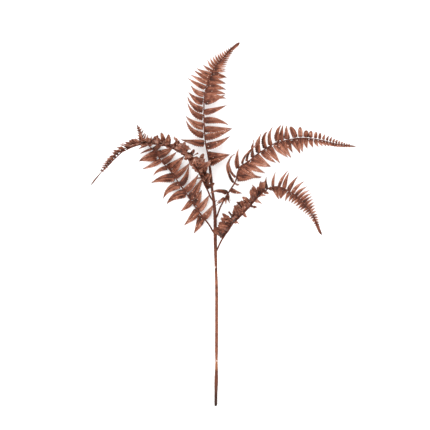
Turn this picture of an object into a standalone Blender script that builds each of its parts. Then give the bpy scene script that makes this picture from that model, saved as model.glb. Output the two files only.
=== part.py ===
"""An artificial bracken spray: a wrapped stem that carries five feathered fronds, lying on a flat surface.

Metres, +Z up. +Y runs along the stem from its cut end to the tip of the top frond, z = 0 is the surface
that the spray lies on, and the origin is under the middle of the spray. Routes and leaflets are given in
millimetres from the cut end of the stem.
"""

import math
from dataclasses import astuple, dataclass

import bmesh
import bpy
import numpy as np
from mathutils import Matrix, Vector

MM = 0.001

# Driving dimensions, in millimetres.
STEM_STEP = 15.0  # between the rings of the stem
SHEET_THICKNESS = 0.7  # of the moulded leaflets
GAP = 0.4  # between pieces that are bound or glued together
MIDRIB_RADIUS = (1.15, 0.45)  # at the stem and at the frond's tip
MIDRIB_STEP = 10.0  # between the rings of a midrib
WEB_HALF_WIDTH = 1.5  # of the strip that carries the leaflets under the midrib
WEB_POINT = 0.4  # half width of the strip at its very tip
WEB_RUN_OUT = 16.0  # how far from the tip the strip starts to narrow
WEB_FUSED = 48.0  # how far from the tip it starts to broaden, where the leaflets grow together
PETIOLE_HALF_WIDTH = 1.1  # of a leaflet's foot, where it leaves the strip
LONGEST_BARE_WEB = 11.0  # between two cross edges of the strip
CLOSEST_FEET = 2.4  # two leaflets on opposite sides stand at least this far apart, or side by side
LEAFLET_POINT = 0.3  # half width of a leaflet's tip
SMALL_LEAFLET = 22.0  # below this length a leaflet has the plainer outline
ROUTE_FINENESS = 40  # points that Catmull-Rom puts between two knots
ROUTE_REACH = 1.5  # how far to each side a route's direction is taken from
LINE_STEPS = 24  # steps that a leaflet's centre line is bent in

# Paint of the three kinds of piece: linear colour and roughness.
STEM_PAINT = ((0.26, 0.1, 0.06), 0.6)
MIDRIB_PAINT = ((0.11, 0.045, 0.03), 0.55)
LEAFLET_PAINT = ((0.34, 0.12, 0.07), 0.6)

# Outlines of a leaflet: share of its length, and of its greatest half width.
LARGE_OUTLINE = ((0.08, 0.92), (0.3, 1.0), (0.7, 0.56), (1.0, 0.0))
SMALL_OUTLINE = ((0.3, 1.0), (1.0, 0.0))

# The stem from its cut end upwards: along x, y, z, and its radius where tape and stalks thicken it.
STEM = (
    (1.7, 0, 2.9, 2.7),
    (1.7, 10, 3.4, 2.8),
    (1.9, 24, 4.0, 2.8),
    (2.6, 50, 5.2, 3.4),
    (3.0, 72, 6.3, 2.9),
    (3.1, 92, 7.2, 2.3),
    (3.1, 114, 8.2, 2.9),
    (3.3, 170, 10.9, 2.9),
    (3.3, 238, 14.2, 2.9),
    (2.1, 280, 16.2, 2.6),
    (1.4, 310, 17.6, 3.0),
    (0.6, 342, 19.1, 3.3),
    (0.2, 390, 21.4, 3.2),
    (-2.3, 421, 22.9, 2.9),
    (-6.0, 446, 24.0, 2.5),
)


@dataclass(frozen=True)
class Leaflet:
    """One leaflet, by its foot's place on the midrib, its size, its direction and its bend."""

    at: float  # mm along the frond's route
    length: float  # mm
    width: float  # mm
    heading: float  # degrees from the midrib's direction, 90 square to it
    lift: float  # degrees out of the frond's plane, towards its face
    bow: float  # degrees that it bends in its own plane, towards the frond's tip
    curl: float  # degrees that it bends out of its own plane, towards the frond's face
    spin: float  # degrees turned about its own length


@dataclass(frozen=True)
class Row:
    """The leaflets on one side: some given one by one, then a run that changes evenly from key to key."""

    single: tuple
    run: tuple


@dataclass(frozen=True)
class Frond:
    """One frond: its midrib's route, how it is rolled about that route, and its two rows of leaflets."""

    name: str
    route: tuple  # x, y, z
    roll: tuple  # (mm along the route, degrees that the left row is turned up)
    pitch: tuple  # (mm along the route, mm from one leaflet of a run to the next)
    left: Row
    right: Row
    web_tip_half_width: float  # of the strip in the fused tip


def smooth_route(knots):
    """Close points on the Catmull-Rom curve through the knots, and how far along it each one is."""
    knots = np.array(knots, float)
    padded = np.vstack([2 * knots[0] - knots[1], knots, 2 * knots[-1] - knots[-2]])
    points = []
    for a, b, c, d in zip(padded, padded[1:], padded[2:], padded[3:]):
        for t in np.arange(ROUTE_FINENESS) / ROUTE_FINENESS:
            bend = (2 * a - 5 * b + 4 * c - d) * t**2 + (3 * b - a - 3 * c + d) * t**3
            points.append(b + 0.5 * ((c - a) * t + bend))
    points = np.array(points + [knots[-1]])
    steps = np.linalg.norm(np.diff(points[:, :3], axis=0), axis=1)
    return points, np.concatenate([[0], np.cumsum(steps)])


def knot_value(knots, at):
    """The value that the knots, pairs of distance and value, give at a distance."""
    return float(np.interp(at, *zip(*knots)))


class Route:
    """A frond's midrib as a curve with a frame: along it, to its left, and out of its face."""

    def __init__(self, frond):
        self.points, self.distances = smooth_route(frond.route)
        self.length = float(self.distances[-1])
        self.roll = frond.roll

    def point(self, at):
        """The midrib's centre at a distance from the frond's foot."""
        return Vector([np.interp(at, self.distances, self.points[:, axis]) for axis in range(3)])

    def frame(self, at):
        """The directions there along the midrib, out of its left side and out of the frond's face."""
        before, after = max(at - ROUTE_REACH, 0), min(at + ROUTE_REACH, self.length)
        along = (self.point(after) - self.point(before)).normalized()
        left = Vector((0, 0, 1)).cross(along).normalized()
        left = Matrix.Rotation(math.radians(knot_value(self.roll, at)), 3, along) @ left
        return along, left, along.cross(left)


def leaflet_line(foot, along, outward, face, leaflet, shares):
    """A bent leaflet's centre points at shares of its length, with its forward edge's direction at each."""
    heading = math.radians(leaflet.heading)
    way = along * math.cos(heading) + outward * math.sin(heading)
    edge = along * math.sin(heading) - outward * math.cos(heading)
    lift = math.radians(leaflet.lift)
    way, top = way * math.cos(lift) + face * math.sin(lift), face * math.cos(lift) - way * math.sin(lift)
    spin = math.radians(leaflet.spin)
    edge, top = edge * math.cos(spin) + top * math.sin(spin), top * math.cos(spin) - edge * math.sin(spin)
    bow = math.radians(leaflet.bow) / LINE_STEPS
    curl = math.radians(leaflet.curl) / LINE_STEPS
    places, edges = [foot.copy()], [edge.copy()]
    for _ in range(LINE_STEPS):
        places.append(places[-1] + way * (leaflet.length / LINE_STEPS))
        way, edge = way * math.cos(bow) + edge * math.sin(bow), edge * math.cos(bow) - way * math.sin(bow)
        way, top = way * math.cos(curl) + top * math.sin(curl), top * math.cos(curl) - way * math.sin(curl)
        edges.append(edge.copy())
    found = []
    for share in shares:
        step = min(int(share * LINE_STEPS), LINE_STEPS - 1)
        part = share * LINE_STEPS - step
        found.append((places[step].lerp(places[step + 1], part), edges[step].lerp(edges[step + 1], part)))
    return found


def run_leaflet(run, at):
    """The leaflet that a run has at a distance along the frond."""
    table = np.array([astuple(leaflet) for leaflet in run])
    return Leaflet(*(float(np.interp(at, table[:, 0], column)) for column in table.T))


def row_leaflets(row, pitch):
    """All the leaflets of a row, from the stem outwards."""
    leaflets = list(row.single)
    at = row.run[0].at
    while at <= row.run[-1].at:
        leaflets.append(run_leaflet(row.run, at))
        at += knot_value(pitch, at)
    return leaflets


def leaflet_feet(frond):
    """Where each leaflet's foot stands, its side (1 on the left, -1 on the right), and the leaflet."""
    feet = [(leaflet.at, 1, leaflet) for leaflet in row_leaflets(frond.left, frond.pitch)]
    places = [at for at, _, _ in feet]
    for leaflet in row_leaflets(frond.right, frond.pitch):
        nearest = min(places, key=lambda at: abs(at - leaflet.at))
        at = nearest if abs(nearest - leaflet.at) < CLOSEST_FEET else leaflet.at
        feet.append((at, -1, leaflet))
    return sorted(feet, key=lambda entry: entry[0])


def web_half_width(frond, at, length):
    """Half the width of the strip under the midrib: even, then as broad as the fused tip, then a point."""
    fused = np.interp(length - at, (0, WEB_RUN_OUT, WEB_FUSED), (0, 1, 0))
    width = WEB_HALF_WIDTH + fused * (frond.web_tip_half_width - WEB_HALF_WIDTH)
    return float(max(WEB_POINT, width * min(1, (length - at) / WEB_RUN_OUT)))


def midrib_radius(at, length):
    """The midrib's radius at a distance along the frond."""
    return float(np.interp(at, (0, length), MIDRIB_RADIUS))


def web_stations(feet, length):
    """Where the strip has a cross edge: beside each leaflet's foot, at its tip, and in long bare runs."""
    edges = [(at - PETIOLE_HALF_WIDTH, at + PETIOLE_HALF_WIDTH) for at in sorted({foot[0] for foot in feet})]
    stations = list(edges[0])
    for near, *far in [*edges[1:], (length,)]:
        runs = math.ceil((near - stations[-1]) / LONGEST_BARE_WEB)
        stations += [*np.linspace(stations[-1], near, runs + 1)[1:-1], near, *far]
    return stations


def collection_for(name):
    """A new collection in the scene."""
    collection = bpy.data.collections.new(name)
    bpy.context.scene.collection.children.link(collection)
    return collection


def painted(name, colour, roughness):
    """A coppery painted surface of one linear colour."""
    material = bpy.data.materials.new(name)
    material.use_nodes = True
    shader = material.node_tree.nodes["Principled BSDF"]
    shader.inputs["Base Color"].default_value = (*colour, 1)
    shader.inputs["Roughness"].default_value = roughness
    shader.inputs["Metallic"].default_value = 0.0
    return material


def make_rod(name, points, radii, material, collection, frame):
    """A round rod through the points, with a radius at each and closed ends."""
    curve = bpy.data.curves.new(name, "CURVE")
    curve.dimensions = "3D"
    curve.bevel_depth = MM
    curve.bevel_resolution = 2
    curve.use_fill_caps = True
    spline = curve.splines.new("POLY")
    spline.points.add(len(points) - 1)
    for knot, point, radius in zip(spline.points, points, radii):
        knot.co = (*(Vector(point) * MM), 1)
        knot.radius = radius
    curve.materials.append(material)
    rod = bpy.data.objects.new(name, curve)
    rod.parent = frame
    collection.objects.link(rod)


def make_stem(material, collection, frame):
    """The wrapped stem, thicker where its tape and the fronds' stalks are bound in."""
    points, distances = smooth_route(STEM)
    length = distances[-1]
    steps = np.linspace(0, length, math.ceil(length / STEM_STEP) + 1)
    x, y, z, radii = (np.interp(steps, distances, points[:, column]) for column in range(4))
    make_rod("main_stem", list(zip(x, y, z)), radii, material, collection, frame)


def make_midrib(frond, route, material, collection, frame):
    """A frond's stalk and midrib, one tapered rod."""
    steps = np.linspace(0, route.length, math.ceil(route.length / MIDRIB_STEP) + 1)
    points = [route.point(at) for at in steps]
    radii = [midrib_radius(at, route.length) for at in steps]
    make_rod(f"{frond.name}_midrib", points, radii, material, collection, frame)


def extrude_to(mesh, edge, first, second):
    """Extrudes an edge, moves its new ends to the two places, and returns the new edge."""
    ends = list(edge.verts)
    made = bmesh.ops.extrude_edge_only(mesh, edges=[edge])["geom"]
    fresh = next(item for item in made if isinstance(item, bmesh.types.BMEdge))
    for old, place in zip(ends, (first, second)):
        new = next(v for v in fresh.verts if any(v in e.verts for e in old.link_edges if e is not edge))
        new.co = place
    return fresh


def grow_leaflet(mesh, edge, foot, route_frame, leaflet, side):
    """Extrudes one leaflet from its foot, an edge of the strip, out to its tip."""
    along, left, face = route_frame
    outline = LARGE_OUTLINE if leaflet.length > SMALL_LEAFLET else SMALL_OUTLINE
    line = leaflet_line(foot, along, left * side, face, leaflet, [share for share, _ in outline])
    for (_, width_share), (centre, forward) in zip(outline, line):
        half = max(LEAFLET_POINT, leaflet.width / 2 * width_share)
        near, far = centre - forward * half, centre + forward * half
        if (edge.verts[1].co - edge.verts[0].co).dot(forward) < 0:
            near, far = far, near
        edge = extrude_to(mesh, edge, near, far)


def make_blade(frond, route, material, collection, frame):
    """All the leaflets of a frond, moulded in one sheet with the narrow strip under the midrib."""
    feet = leaflet_feet(frond)
    stations = web_stations(feet, route.length)
    mesh = bmesh.new()
    pairs = []
    for at in stations:
        along, left, face = route.frame(at)
        under = route.point(at) - face * (midrib_radius(at, route.length) + GAP + SHEET_THICKNESS / 2)
        half = web_half_width(frond, at, route.length)
        if pairs:
            rung = mesh.edges.get(pairs[-1])
            rung = extrude_to(mesh, rung, under + left * half, under - left * half)
            ends = sorted(rung.verts, key=lambda vert: -(vert.co - under).dot(left))
        else:
            ends = [mesh.verts.new(under + left * half), mesh.verts.new(under - left * half)]
            mesh.edges.new(ends)
        pairs.append(tuple(ends))
    for at, side, leaflet in feet:
        first = stations.index(at - PETIOLE_HALF_WIDTH)
        ends = [pair[0 if side > 0 else 1] for pair in pairs[first : first + 2]]
        foot = (ends[0].co + ends[1].co) / 2
        grow_leaflet(mesh, mesh.edges.get(ends), foot, route.frame(at), leaflet, side)
    bmesh.ops.recalc_face_normals(mesh, faces=mesh.faces)
    bmesh.ops.scale(mesh, vec=(MM, MM, MM), verts=mesh.verts)
    data = bpy.data.meshes.new(f"{frond.name}_blade")
    mesh.to_mesh(data)
    mesh.free()
    data.materials.append(material)
    blade = bpy.data.objects.new(data.name, data)
    shell = blade.modifiers.new("thickness", "SOLIDIFY")
    shell.thickness = SHEET_THICKNESS * MM
    shell.offset = 0
    blade.parent = frame
    collection.objects.link(blade)


TOP = Frond(
    name="top",
    route=(
        (-6.2, 447.4, 24.1),
        (-7.8, 470, 26),
        (-11, 495, 29),
        (-15, 520, 33),
        (-19, 539, 36),
        (-21, 559, 38),
        (-22.4, 586, 40),
        (-22.8, 611, 40),
        (-22, 634, 38),
        (-19.5, 651, 35),
        (-15, 666, 31),
        (-9, 682, 26),
        (-2, 696, 21),
        (6.6, 708, 16),
        (16.6, 718, 12),
        (35, 736, 5),
        (51, 750, 1.6),
    ),
    roll=((0, 0), (330, 0)),
    pitch=((0, 7), (270, 6), (300, 5)),
    left=Row(
        single=(
            Leaflet(94, 54, 11, 72, -12, 0, 0, 5),
            Leaflet(111, 56, 10, 78, -20, 70, 0, 10),
            Leaflet(129, 50, 12, 74, -26, 35, 0, 10),
            Leaflet(148, 52, 10, 76, -25, 65, 0, 10),
            Leaflet(164, 50, 10, 78, -26, 60, 0, 10),
            Leaflet(181, 44, 11, 76, -26, 40, 0, 10),
            Leaflet(196, 40, 10, 76, -25, 35, 0, 10),
            Leaflet(210, 47, 9, 72, -10, 0, 0, 10),
            Leaflet(223, 42, 9, 80, -10, 0, 0, 10),
            Leaflet(232, 38, 9, 78, -10, 0, 0, 10),
            Leaflet(241, 33, 9, 86, -5, 0, 0, 10),
            Leaflet(250, 25, 6, 86, 0, 10, 0, 0),
        ),
        run=(
            Leaflet(257, 24, 5, 78, 0, 25, 0, 0),
            Leaflet(268, 19, 4.5, 72, 0, 15, 0, 0),
            Leaflet(290, 12, 3.5, 76, 0, 0, 0, 0),
            Leaflet(313, 6, 2.5, 60, 0, 0, 0, 0),
        ),
    ),
    right=Row(
        single=(
            Leaflet(62, 45, 25, 86, 6, 0, 0, 0),
            Leaflet(88, 54, 12, 84, 5, 15, 0, 0),
            Leaflet(107, 59, 12, 78, 0, 5, 0, 0),
            Leaflet(124, 57, 12, 88, 0, -5, 0, 0),
            Leaflet(142, 54, 12, 76, 0, -55, 0, 0),
            Leaflet(159, 50, 11, 72, 0, 0, 0, 0),
            Leaflet(179, 46, 12, 68, 0, 0, 0, 0),
            Leaflet(193, 46, 12, 76, 0, -28, 0, 0),
            Leaflet(206, 43, 12, 76, 0, -26, 0, 0),
            Leaflet(219, 41, 12, 76, 0, -22, 0, 0),
            Leaflet(231, 36, 12, 76, 0, -20, 0, 0),
            Leaflet(244, 34, 12, 70, 0, -18, 0, 0),
        ),
        run=(
            Leaflet(253, 27, 6, 65, 0, 0, 0, 0),
            Leaflet(268, 22, 5, 54, 0, 0, 0, 0),
            Leaflet(281, 17, 4, 48, 0, 0, 0, 0),
            Leaflet(313, 6, 2.5, 45, 0, 0, 0, 0),
        ),
    ),
    web_tip_half_width=2.8,
)

FAR_LEFT = Frond(
    name="far_left",
    route=(
        (-9.5, 431, 24),
        (-14, 442, 27),
        (-20, 454, 32),
        (-32, 479, 42),
        (-47, 501, 50),
        (-66, 519, 55),
        (-80, 527, 57),
        (-94, 534, 58),
        (-114, 538, 58),
        (-133, 540, 56),
        (-151, 539, 52),
        (-166, 535, 47),
        (-180, 529, 41),
        (-193, 522, 35),
        (-205, 511, 28),
        (-218, 499, 21),
        (-232, 485, 13),
        (-244, 471, 7),
        (-256, 456, 1.6),
    ),
    roll=((0, -30), (60, -40), (110, -60), (160, -68), (240, -68), (290, -40), (350, 0)),
    pitch=((0, 13), (200, 12), (230, 9), (300, 6), (350, 5)),
    left=Row(
        single=(),
        run=(
            Leaflet(28, 20, 9, 95, -70, 0, 0, 20),
            Leaflet(54, 26, 11, 80, -60, 0, 20, 30),
            Leaflet(80, 30, 12, 95, -50, 0, 30, -30),
            Leaflet(106, 28, 12, 75, -45, 0, 30, 30),
            Leaflet(132, 26, 12, 95, -40, 0, 20, -30),
            Leaflet(158, 26, 12, 75, -40, 0, 30, 30),
            Leaflet(184, 24, 11, 90, -40, 0, 20, -20),
            Leaflet(208, 22, 9, 65, -40, 0, 20, 20),
            Leaflet(232, 20, 8, 38, -45, 0, 20, 0),
            Leaflet(262, 17, 7, 32, -45, 0, 0, 0),
            Leaflet(288, 8, 4, 50, -20, 0, 0, 0),
            Leaflet(310, 4, 2.5, 50, 0, 0, 0, 0),
        ),
    ),
    right=Row(
        single=(),
        run=(
            Leaflet(23, 18, 9, 75, 0, 20, 0, 30),
            Leaflet(37, 22, 10, 60, 10, 30, 0, -20),
            Leaflet(50, 30, 11, 65, 0, 40, -20, 40),
            Leaflet(63, 33, 12, 90, 10, 0, -30, -30),
            Leaflet(76, 34, 12, 80, 0, 20, -30, 30),
            Leaflet(89, 32, 12, 105, 10, -20, -40, -30),
            Leaflet(102, 30, 12, 75, 0, 20, -20, 40),
            Leaflet(128, 26, 12, 100, 5, 0, -40, -40),
            Leaflet(154, 23, 12, 75, 0, 20, -20, 30),
            Leaflet(180, 21, 11, 95, 5, 0, -30, -30),
            Leaflet(204, 20, 10, 62, 0, 0, -20, 20),
            Leaflet(228, 20, 8, 38, -25, 0, -10, 0),
            Leaflet(258, 17, 7, 32, -30, 0, 0, 0),
            Leaflet(282, 14, 4, 46, -15, 0, 0, 0),
            Leaflet(310, 4, 2.5, 50, 0, 0, 0, 0),
        ),
    ),
    web_tip_half_width=1.2,
)

NEAR_LEFT = Frond(
    name="near_left",
    route=(
        (-6, 363, 19),
        (-11, 372, 17),
        (-17, 380, 15),
        (-23, 387, 13),
        (-33, 400, 11),
        (-44, 415, 10),
        (-61, 441, 10),
        (-71, 455, 10),
        (-93, 486, 10),
        (-108, 502, 10),
        (-126, 526, 10),
        (-145, 546, 9),
        (-150, 553, 9),
        (-154, 564, 8),
        (-161, 580, 7),
    ),
    roll=((0, 0), (300, 0)),
    pitch=((0, 9), (240, 6), (260, 5)),
    left=Row(
        single=(
            Leaflet(36, 41, 12, 117, 0, 0, -15, 0),
            Leaflet(51, 43, 12, 100, 0, 0, -10, 0),
            Leaflet(73, 31, 9, 98, 0, 0, 0, 0),
            Leaflet(93, 50, 14, 52, 0, -72, 0, 0),
            Leaflet(114, 50, 12, 52, 0, -88, 0, 0),
            Leaflet(133, 53, 14, 46, 0, -46, 0, 0),
            Leaflet(158, 38, 7, 42, 0, -72, 0, 0),
            Leaflet(179, 45, 8, 78, 0, 0, 0, 0),
            Leaflet(192, 41, 16, 52, 0, -42, 0, 0),
            Leaflet(209, 29, 4, 56, 0, -30, 0, 0),
            Leaflet(222, 23, 4, 62, 0, -20, 0, 0),
        ),
        run=(
            Leaflet(232, 14, 3.5, 62, 0, 0, 0, 0),
            Leaflet(246, 8, 3, 60, 0, 0, 0, 0),
            Leaflet(262, 4, 2.5, 50, 0, 0, 0, 0),
        ),
    ),
    right=Row(
        single=(
            Leaflet(31, 35, 11, 74, -8, 0, 0, 0),
            Leaflet(49, 39, 12, 75, -8, 0, 0, 0),
            Leaflet(65, 35, 12, 68, -5, 0, 0, 0),
            Leaflet(79, 54, 13, 66, 0, 0, 0, 0),
            Leaflet(98, 46, 11, 80, 0, 10, 0, 0),
            Leaflet(114, 43, 10, 68, 0, 25, 0, 0),
            Leaflet(131, 45, 10, 82, 0, 0, 0, 0),
            Leaflet(152, 42, 26, 84, 6, 0, 0, 0),
            Leaflet(173, 36, 12, 94, 0, 0, 0, 0),
            Leaflet(190, 38, 16, 100, 0, 0, 0, 0),
            Leaflet(205, 30, 10, 85, 0, 0, 0, 0),
        ),
        run=(
            Leaflet(217, 22, 6, 72, 0, 0, 0, 0),
            Leaflet(240, 12, 3, 60, 0, 0, 0, 0),
            Leaflet(262, 4, 2.5, 50, 0, 0, 0, 0),
        ),
    ),
    web_tip_half_width=1.6,
)

UPPER_RIGHT = Frond(
    name="upper_right",
    route=(
        (5.2, 394, 22),
        (7.5, 401, 23),
        (12, 412, 25),
        (20, 427, 29),
        (33, 448, 35),
        (39, 457, 38),
        (44, 468, 41),
        (47, 483, 44),
        (53, 494, 46),
        (63, 500, 47),
        (73, 507, 48),
        (83, 516, 48),
        (106, 531, 47),
        (126, 542, 45),
        (155, 549, 42),
        (176, 552, 39),
        (197, 551, 36),
        (218, 548, 33),
        (234, 544, 31),
        (251, 540, 29),
        (269, 537, 27),
        (290, 535, 25),
    ),
    roll=((0, 0), (380, 0)),
    pitch=((0, 11), (276, 10), (290, 8), (320, 6), (360, 5)),
    left=Row(
        single=(
            Leaflet(34, 14, 5, 132, 10, 0, 0, 0),
            Leaflet(48, 41, 9, 74, 25, -93, 0, 10),
            Leaflet(77, 80, 8, 66, 0, 0, 100, -68),
            Leaflet(89, 52, 8, 58, 0, 0, 74, -68),
            Leaflet(107, 46, 11, 32, 8, 0, 20, -52),
            Leaflet(119, 40, 8, 50, 0, 0, 60, -64),
            Leaflet(130, 50, 9, 50, 0, 0, 66, -64),
            Leaflet(143, 42, 9, 48, 10, 30, 0, 50),
            Leaflet(158, 46, 12, 62, 10, 40, 0, 35),
            Leaflet(175, 46, 11, 76, 10, 70, 0, 45),
            Leaflet(188, 46, 10, 72, 10, 58, 0, 45),
            Leaflet(204, 41, 10, 78, 10, 45, 0, 35),
            Leaflet(213, 36, 9, 76, 10, 15, 0, 25),
            Leaflet(225, 31, 10, 80, 8, 0, 0, 20),
            Leaflet(243, 27, 9.5, 94, 6, -25, 0, 15),
            Leaflet(254, 23, 8, 90, 5, 0, 0, 10),
        ),
        run=(
            Leaflet(265, 16, 9, 90, 5, 0, 0, 10),
            Leaflet(276, 16, 7, 92, 0, 0, 0, 0),
            Leaflet(295, 14, 5, 92, 0, 0, 0, 0),
            Leaflet(314, 13, 3.5, 80, 0, 0, 0, 0),
            Leaflet(336, 8, 3, 64, 0, 0, 0, 0),
            Leaflet(358, 4, 2.5, 50, 0, 0, 0, 0),
        ),
    ),
    right=Row(
        single=(
            Leaflet(44, 14, 7, 120, 10, 0, 0, 30),
            Leaflet(59, 25, 8, 72, 0, 0, 0, 0),
            Leaflet(74, 16, 9, 60, 35, 0, 0, 30),
            Leaflet(94, 50, 22, 86, 0, 0, 0, 0),
            Leaflet(116, 42, 13, 76, 0, 0, 0, 0),
            Leaflet(127, 44, 12, 60, 0, 0, 0, 0),
            Leaflet(140, 43, 12, 62, 0, 0, 0, 0),
            Leaflet(153, 38, 10, 72, 0, 0, 0, 0),
            Leaflet(169, 37, 11, 76, 0, 5, 0, 0),
            Leaflet(184, 41, 12, 82, 0, -10, 0, 0),
            Leaflet(200, 40, 12, 70, 0, 0, 0, 0),
            Leaflet(213, 40, 12, 72, 0, 0, 0, 0),
            Leaflet(226, 28, 13, 76, 0, 0, 0, 0),
            Leaflet(240, 34, 15, 72, 0, -10, 0, 0),
            Leaflet(252, 29, 12, 84, 0, 0, 0, 0),
        ),
        run=(
            Leaflet(264, 22, 9, 78, 0, 0, 0, 0),
            Leaflet(284, 17, 7, 60, 0, 0, 0, 0),
            Leaflet(312, 11, 4.5, 40, 0, 0, 0, 0),
            Leaflet(358, 4, 2.5, 35, 0, 0, 0, 0),
        ),
    ),
    web_tip_half_width=1.6,
)

LOWER_RIGHT = Frond(
    name="lower_right",
    route=(
        (6, 326, 20),
        (12, 339, 24),
        (20, 352, 29),
        (28, 363, 34),
        (36, 376, 39),
        (48, 387, 43),
        (58, 397, 45),
        (67, 407, 46),
        (87, 429, 46),
        (97, 439, 45),
        (109, 448, 43),
        (118, 451, 41),
        (128, 452, 39),
        (141, 449, 36),
        (153, 442, 33),
        (166, 434, 29),
        (175, 426, 25),
        (185, 415, 20),
        (194, 404, 15),
        (202, 392, 10),
        (209, 377, 6),
        (214, 365, 3),
        (220, 353, 1.6),
    ),
    roll=((0, 50), (120, 55), (165, 40), (185, 0), (340, 0)),
    pitch=((0, 13), (170, 13), (220, 9), (260, 6), (300, 5)),
    left=Row(
        single=(),
        run=(
            Leaflet(33, 26, 13, 80, 0, 0, -50, 10),
            Leaflet(46, 28, 13, 86, 5, 0, -60, -10),
            Leaflet(59, 27, 13, 92, 5, 0, -65, 10),
            Leaflet(82, 25, 13, 90, 0, 0, -65, 10),
            Leaflet(108, 22, 13, 80, 5, 10, -60, -10),
            Leaflet(134, 23, 12, 74, 0, 20, -40, 10),
            Leaflet(158, 28, 8, 72, 0, 20, -10, 20),
            Leaflet(172, 32, 7, 82, 0, 10, 0, 20),
            Leaflet(190, 41, 7, 78, 0, 20, 0, 20),
            Leaflet(204, 37, 9, 98, 0, 0, 0, 0),
            Leaflet(222, 36, 6.5, 84, 0, 25, 0, 10),
            Leaflet(244, 27, 5.5, 86, 0, 20, 0, 0),
            Leaflet(262, 20, 4.5, 90, 0, 5, 0, 0),
            Leaflet(280, 12, 3.5, 85, 0, 0, 0, 0),
            Leaflet(314, 4, 2.5, 60, 0, 0, 0, 0),
        ),
    ),
    right=Row(
        single=(),
        run=(
            Leaflet(26, 18, 11, 85, -55, 0, 0, 0),
            Leaflet(65, 22, 12, 80, -45, 0, 0, 20),
            Leaflet(91, 24, 10, 75, -22, 0, 0, 0),
            Leaflet(130, 22, 9, 82, -18, 0, 0, 10),
            Leaflet(154, 22, 8, 72, -15, 0, 0, 0),
            Leaflet(169, 25, 8, 58, -10, 0, 0, 0),
            Leaflet(182, 27, 16, 76, 0, 0, 0, 0),
            Leaflet(200, 23, 9, 85, 0, 0, 0, 0),
            Leaflet(229, 19, 7, 92, 0, 0, 0, 0),
            Leaflet(259, 15, 5.5, 96, 0, 0, 0, 0),
            Leaflet(280, 10, 3.5, 90, 0, 0, 0, 0),
            Leaflet(312, 4, 2.5, 60, 0, 0, 0, 0),
        ),
    ),
    web_tip_half_width=2.4,
)

FRONDS = (TOP, FAR_LEFT, NEAR_LEFT, UPPER_RIGHT, LOWER_RIGHT)


def middle_of_spray():
    """The point on the surface under the middle of the spray, measured from the stem's cut end."""
    ends = [frond.route[-1] for frond in FRONDS]
    x = (min(end[0] for end in ends) + max(end[0] for end in ends)) / 2
    return Vector((x, max(end[1] for end in ends) / 2, 0))


def clear_scene():
    """Removes every object that the scene starts with."""
    for obj in list(bpy.data.objects):
        bpy.data.objects.remove(obj, do_unlink=True)


def main():
    """Models the spray: its stem, and each frond's midrib and blade."""
    clear_scene()
    collection = collection_for("bracken_spray")
    frame = bpy.data.objects.new("cut_end_frame", None)
    frame.location = -middle_of_spray() * MM
    collection.objects.link(frame)
    make_stem(painted("painted_stem", *STEM_PAINT), collection, frame)
    midrib_paint = painted("painted_midrib", *MIDRIB_PAINT)
    leaflet_paint = painted("painted_leaflet", *LEAFLET_PAINT)
    for frond in FRONDS:
        route = Route(frond)
        make_midrib(frond, route, midrib_paint, collection, frame)
        make_blade(frond, route, leaflet_paint, collection, frame)


main()
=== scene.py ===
"""The looks of an artificial bracken spray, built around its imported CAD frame.

A tape-wound stem branches near its top into five feathered fronds, and the whole spray lies on a pale
floor. Stem, stalks and leaflets are laid out in millimetres from the stem's cut end, and the frame says
where that end is. Each kind of leaflet is modelled once, then copied, bent and joined into fronds.
"""

import logging
import math
import random
from collections.abc import Callable, Iterator
from contextlib import contextmanager
from dataclasses import astuple, dataclass, replace
from enum import Enum
from functools import partial

import bmesh
import bpy
import numpy as np
from mathutils import Matrix, Vector


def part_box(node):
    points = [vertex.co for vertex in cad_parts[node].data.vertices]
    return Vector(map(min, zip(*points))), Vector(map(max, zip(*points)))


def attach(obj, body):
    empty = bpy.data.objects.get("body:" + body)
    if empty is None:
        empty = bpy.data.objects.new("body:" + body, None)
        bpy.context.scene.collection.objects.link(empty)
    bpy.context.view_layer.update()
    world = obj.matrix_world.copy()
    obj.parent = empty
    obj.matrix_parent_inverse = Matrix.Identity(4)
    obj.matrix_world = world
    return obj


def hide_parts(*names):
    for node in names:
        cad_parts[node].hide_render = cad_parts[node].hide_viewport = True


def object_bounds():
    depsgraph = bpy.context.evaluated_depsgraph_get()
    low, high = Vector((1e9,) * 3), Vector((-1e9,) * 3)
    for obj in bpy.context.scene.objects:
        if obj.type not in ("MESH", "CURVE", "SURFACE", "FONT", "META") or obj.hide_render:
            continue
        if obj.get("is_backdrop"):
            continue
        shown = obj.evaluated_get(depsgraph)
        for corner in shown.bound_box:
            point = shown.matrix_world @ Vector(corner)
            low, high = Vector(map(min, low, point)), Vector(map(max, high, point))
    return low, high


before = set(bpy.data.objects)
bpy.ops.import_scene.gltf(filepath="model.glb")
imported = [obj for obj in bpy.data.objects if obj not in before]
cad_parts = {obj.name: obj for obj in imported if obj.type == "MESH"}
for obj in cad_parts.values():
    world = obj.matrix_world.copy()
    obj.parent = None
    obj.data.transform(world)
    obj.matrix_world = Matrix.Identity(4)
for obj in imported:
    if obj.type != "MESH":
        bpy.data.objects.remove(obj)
CAD_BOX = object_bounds()

log = logging.getLogger("bracken_spray")

MM = 0.001
BODY = "root"
Colour = tuple[float, float, float, float]
Knots = tuple[tuple[float, ...], ...]

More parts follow.
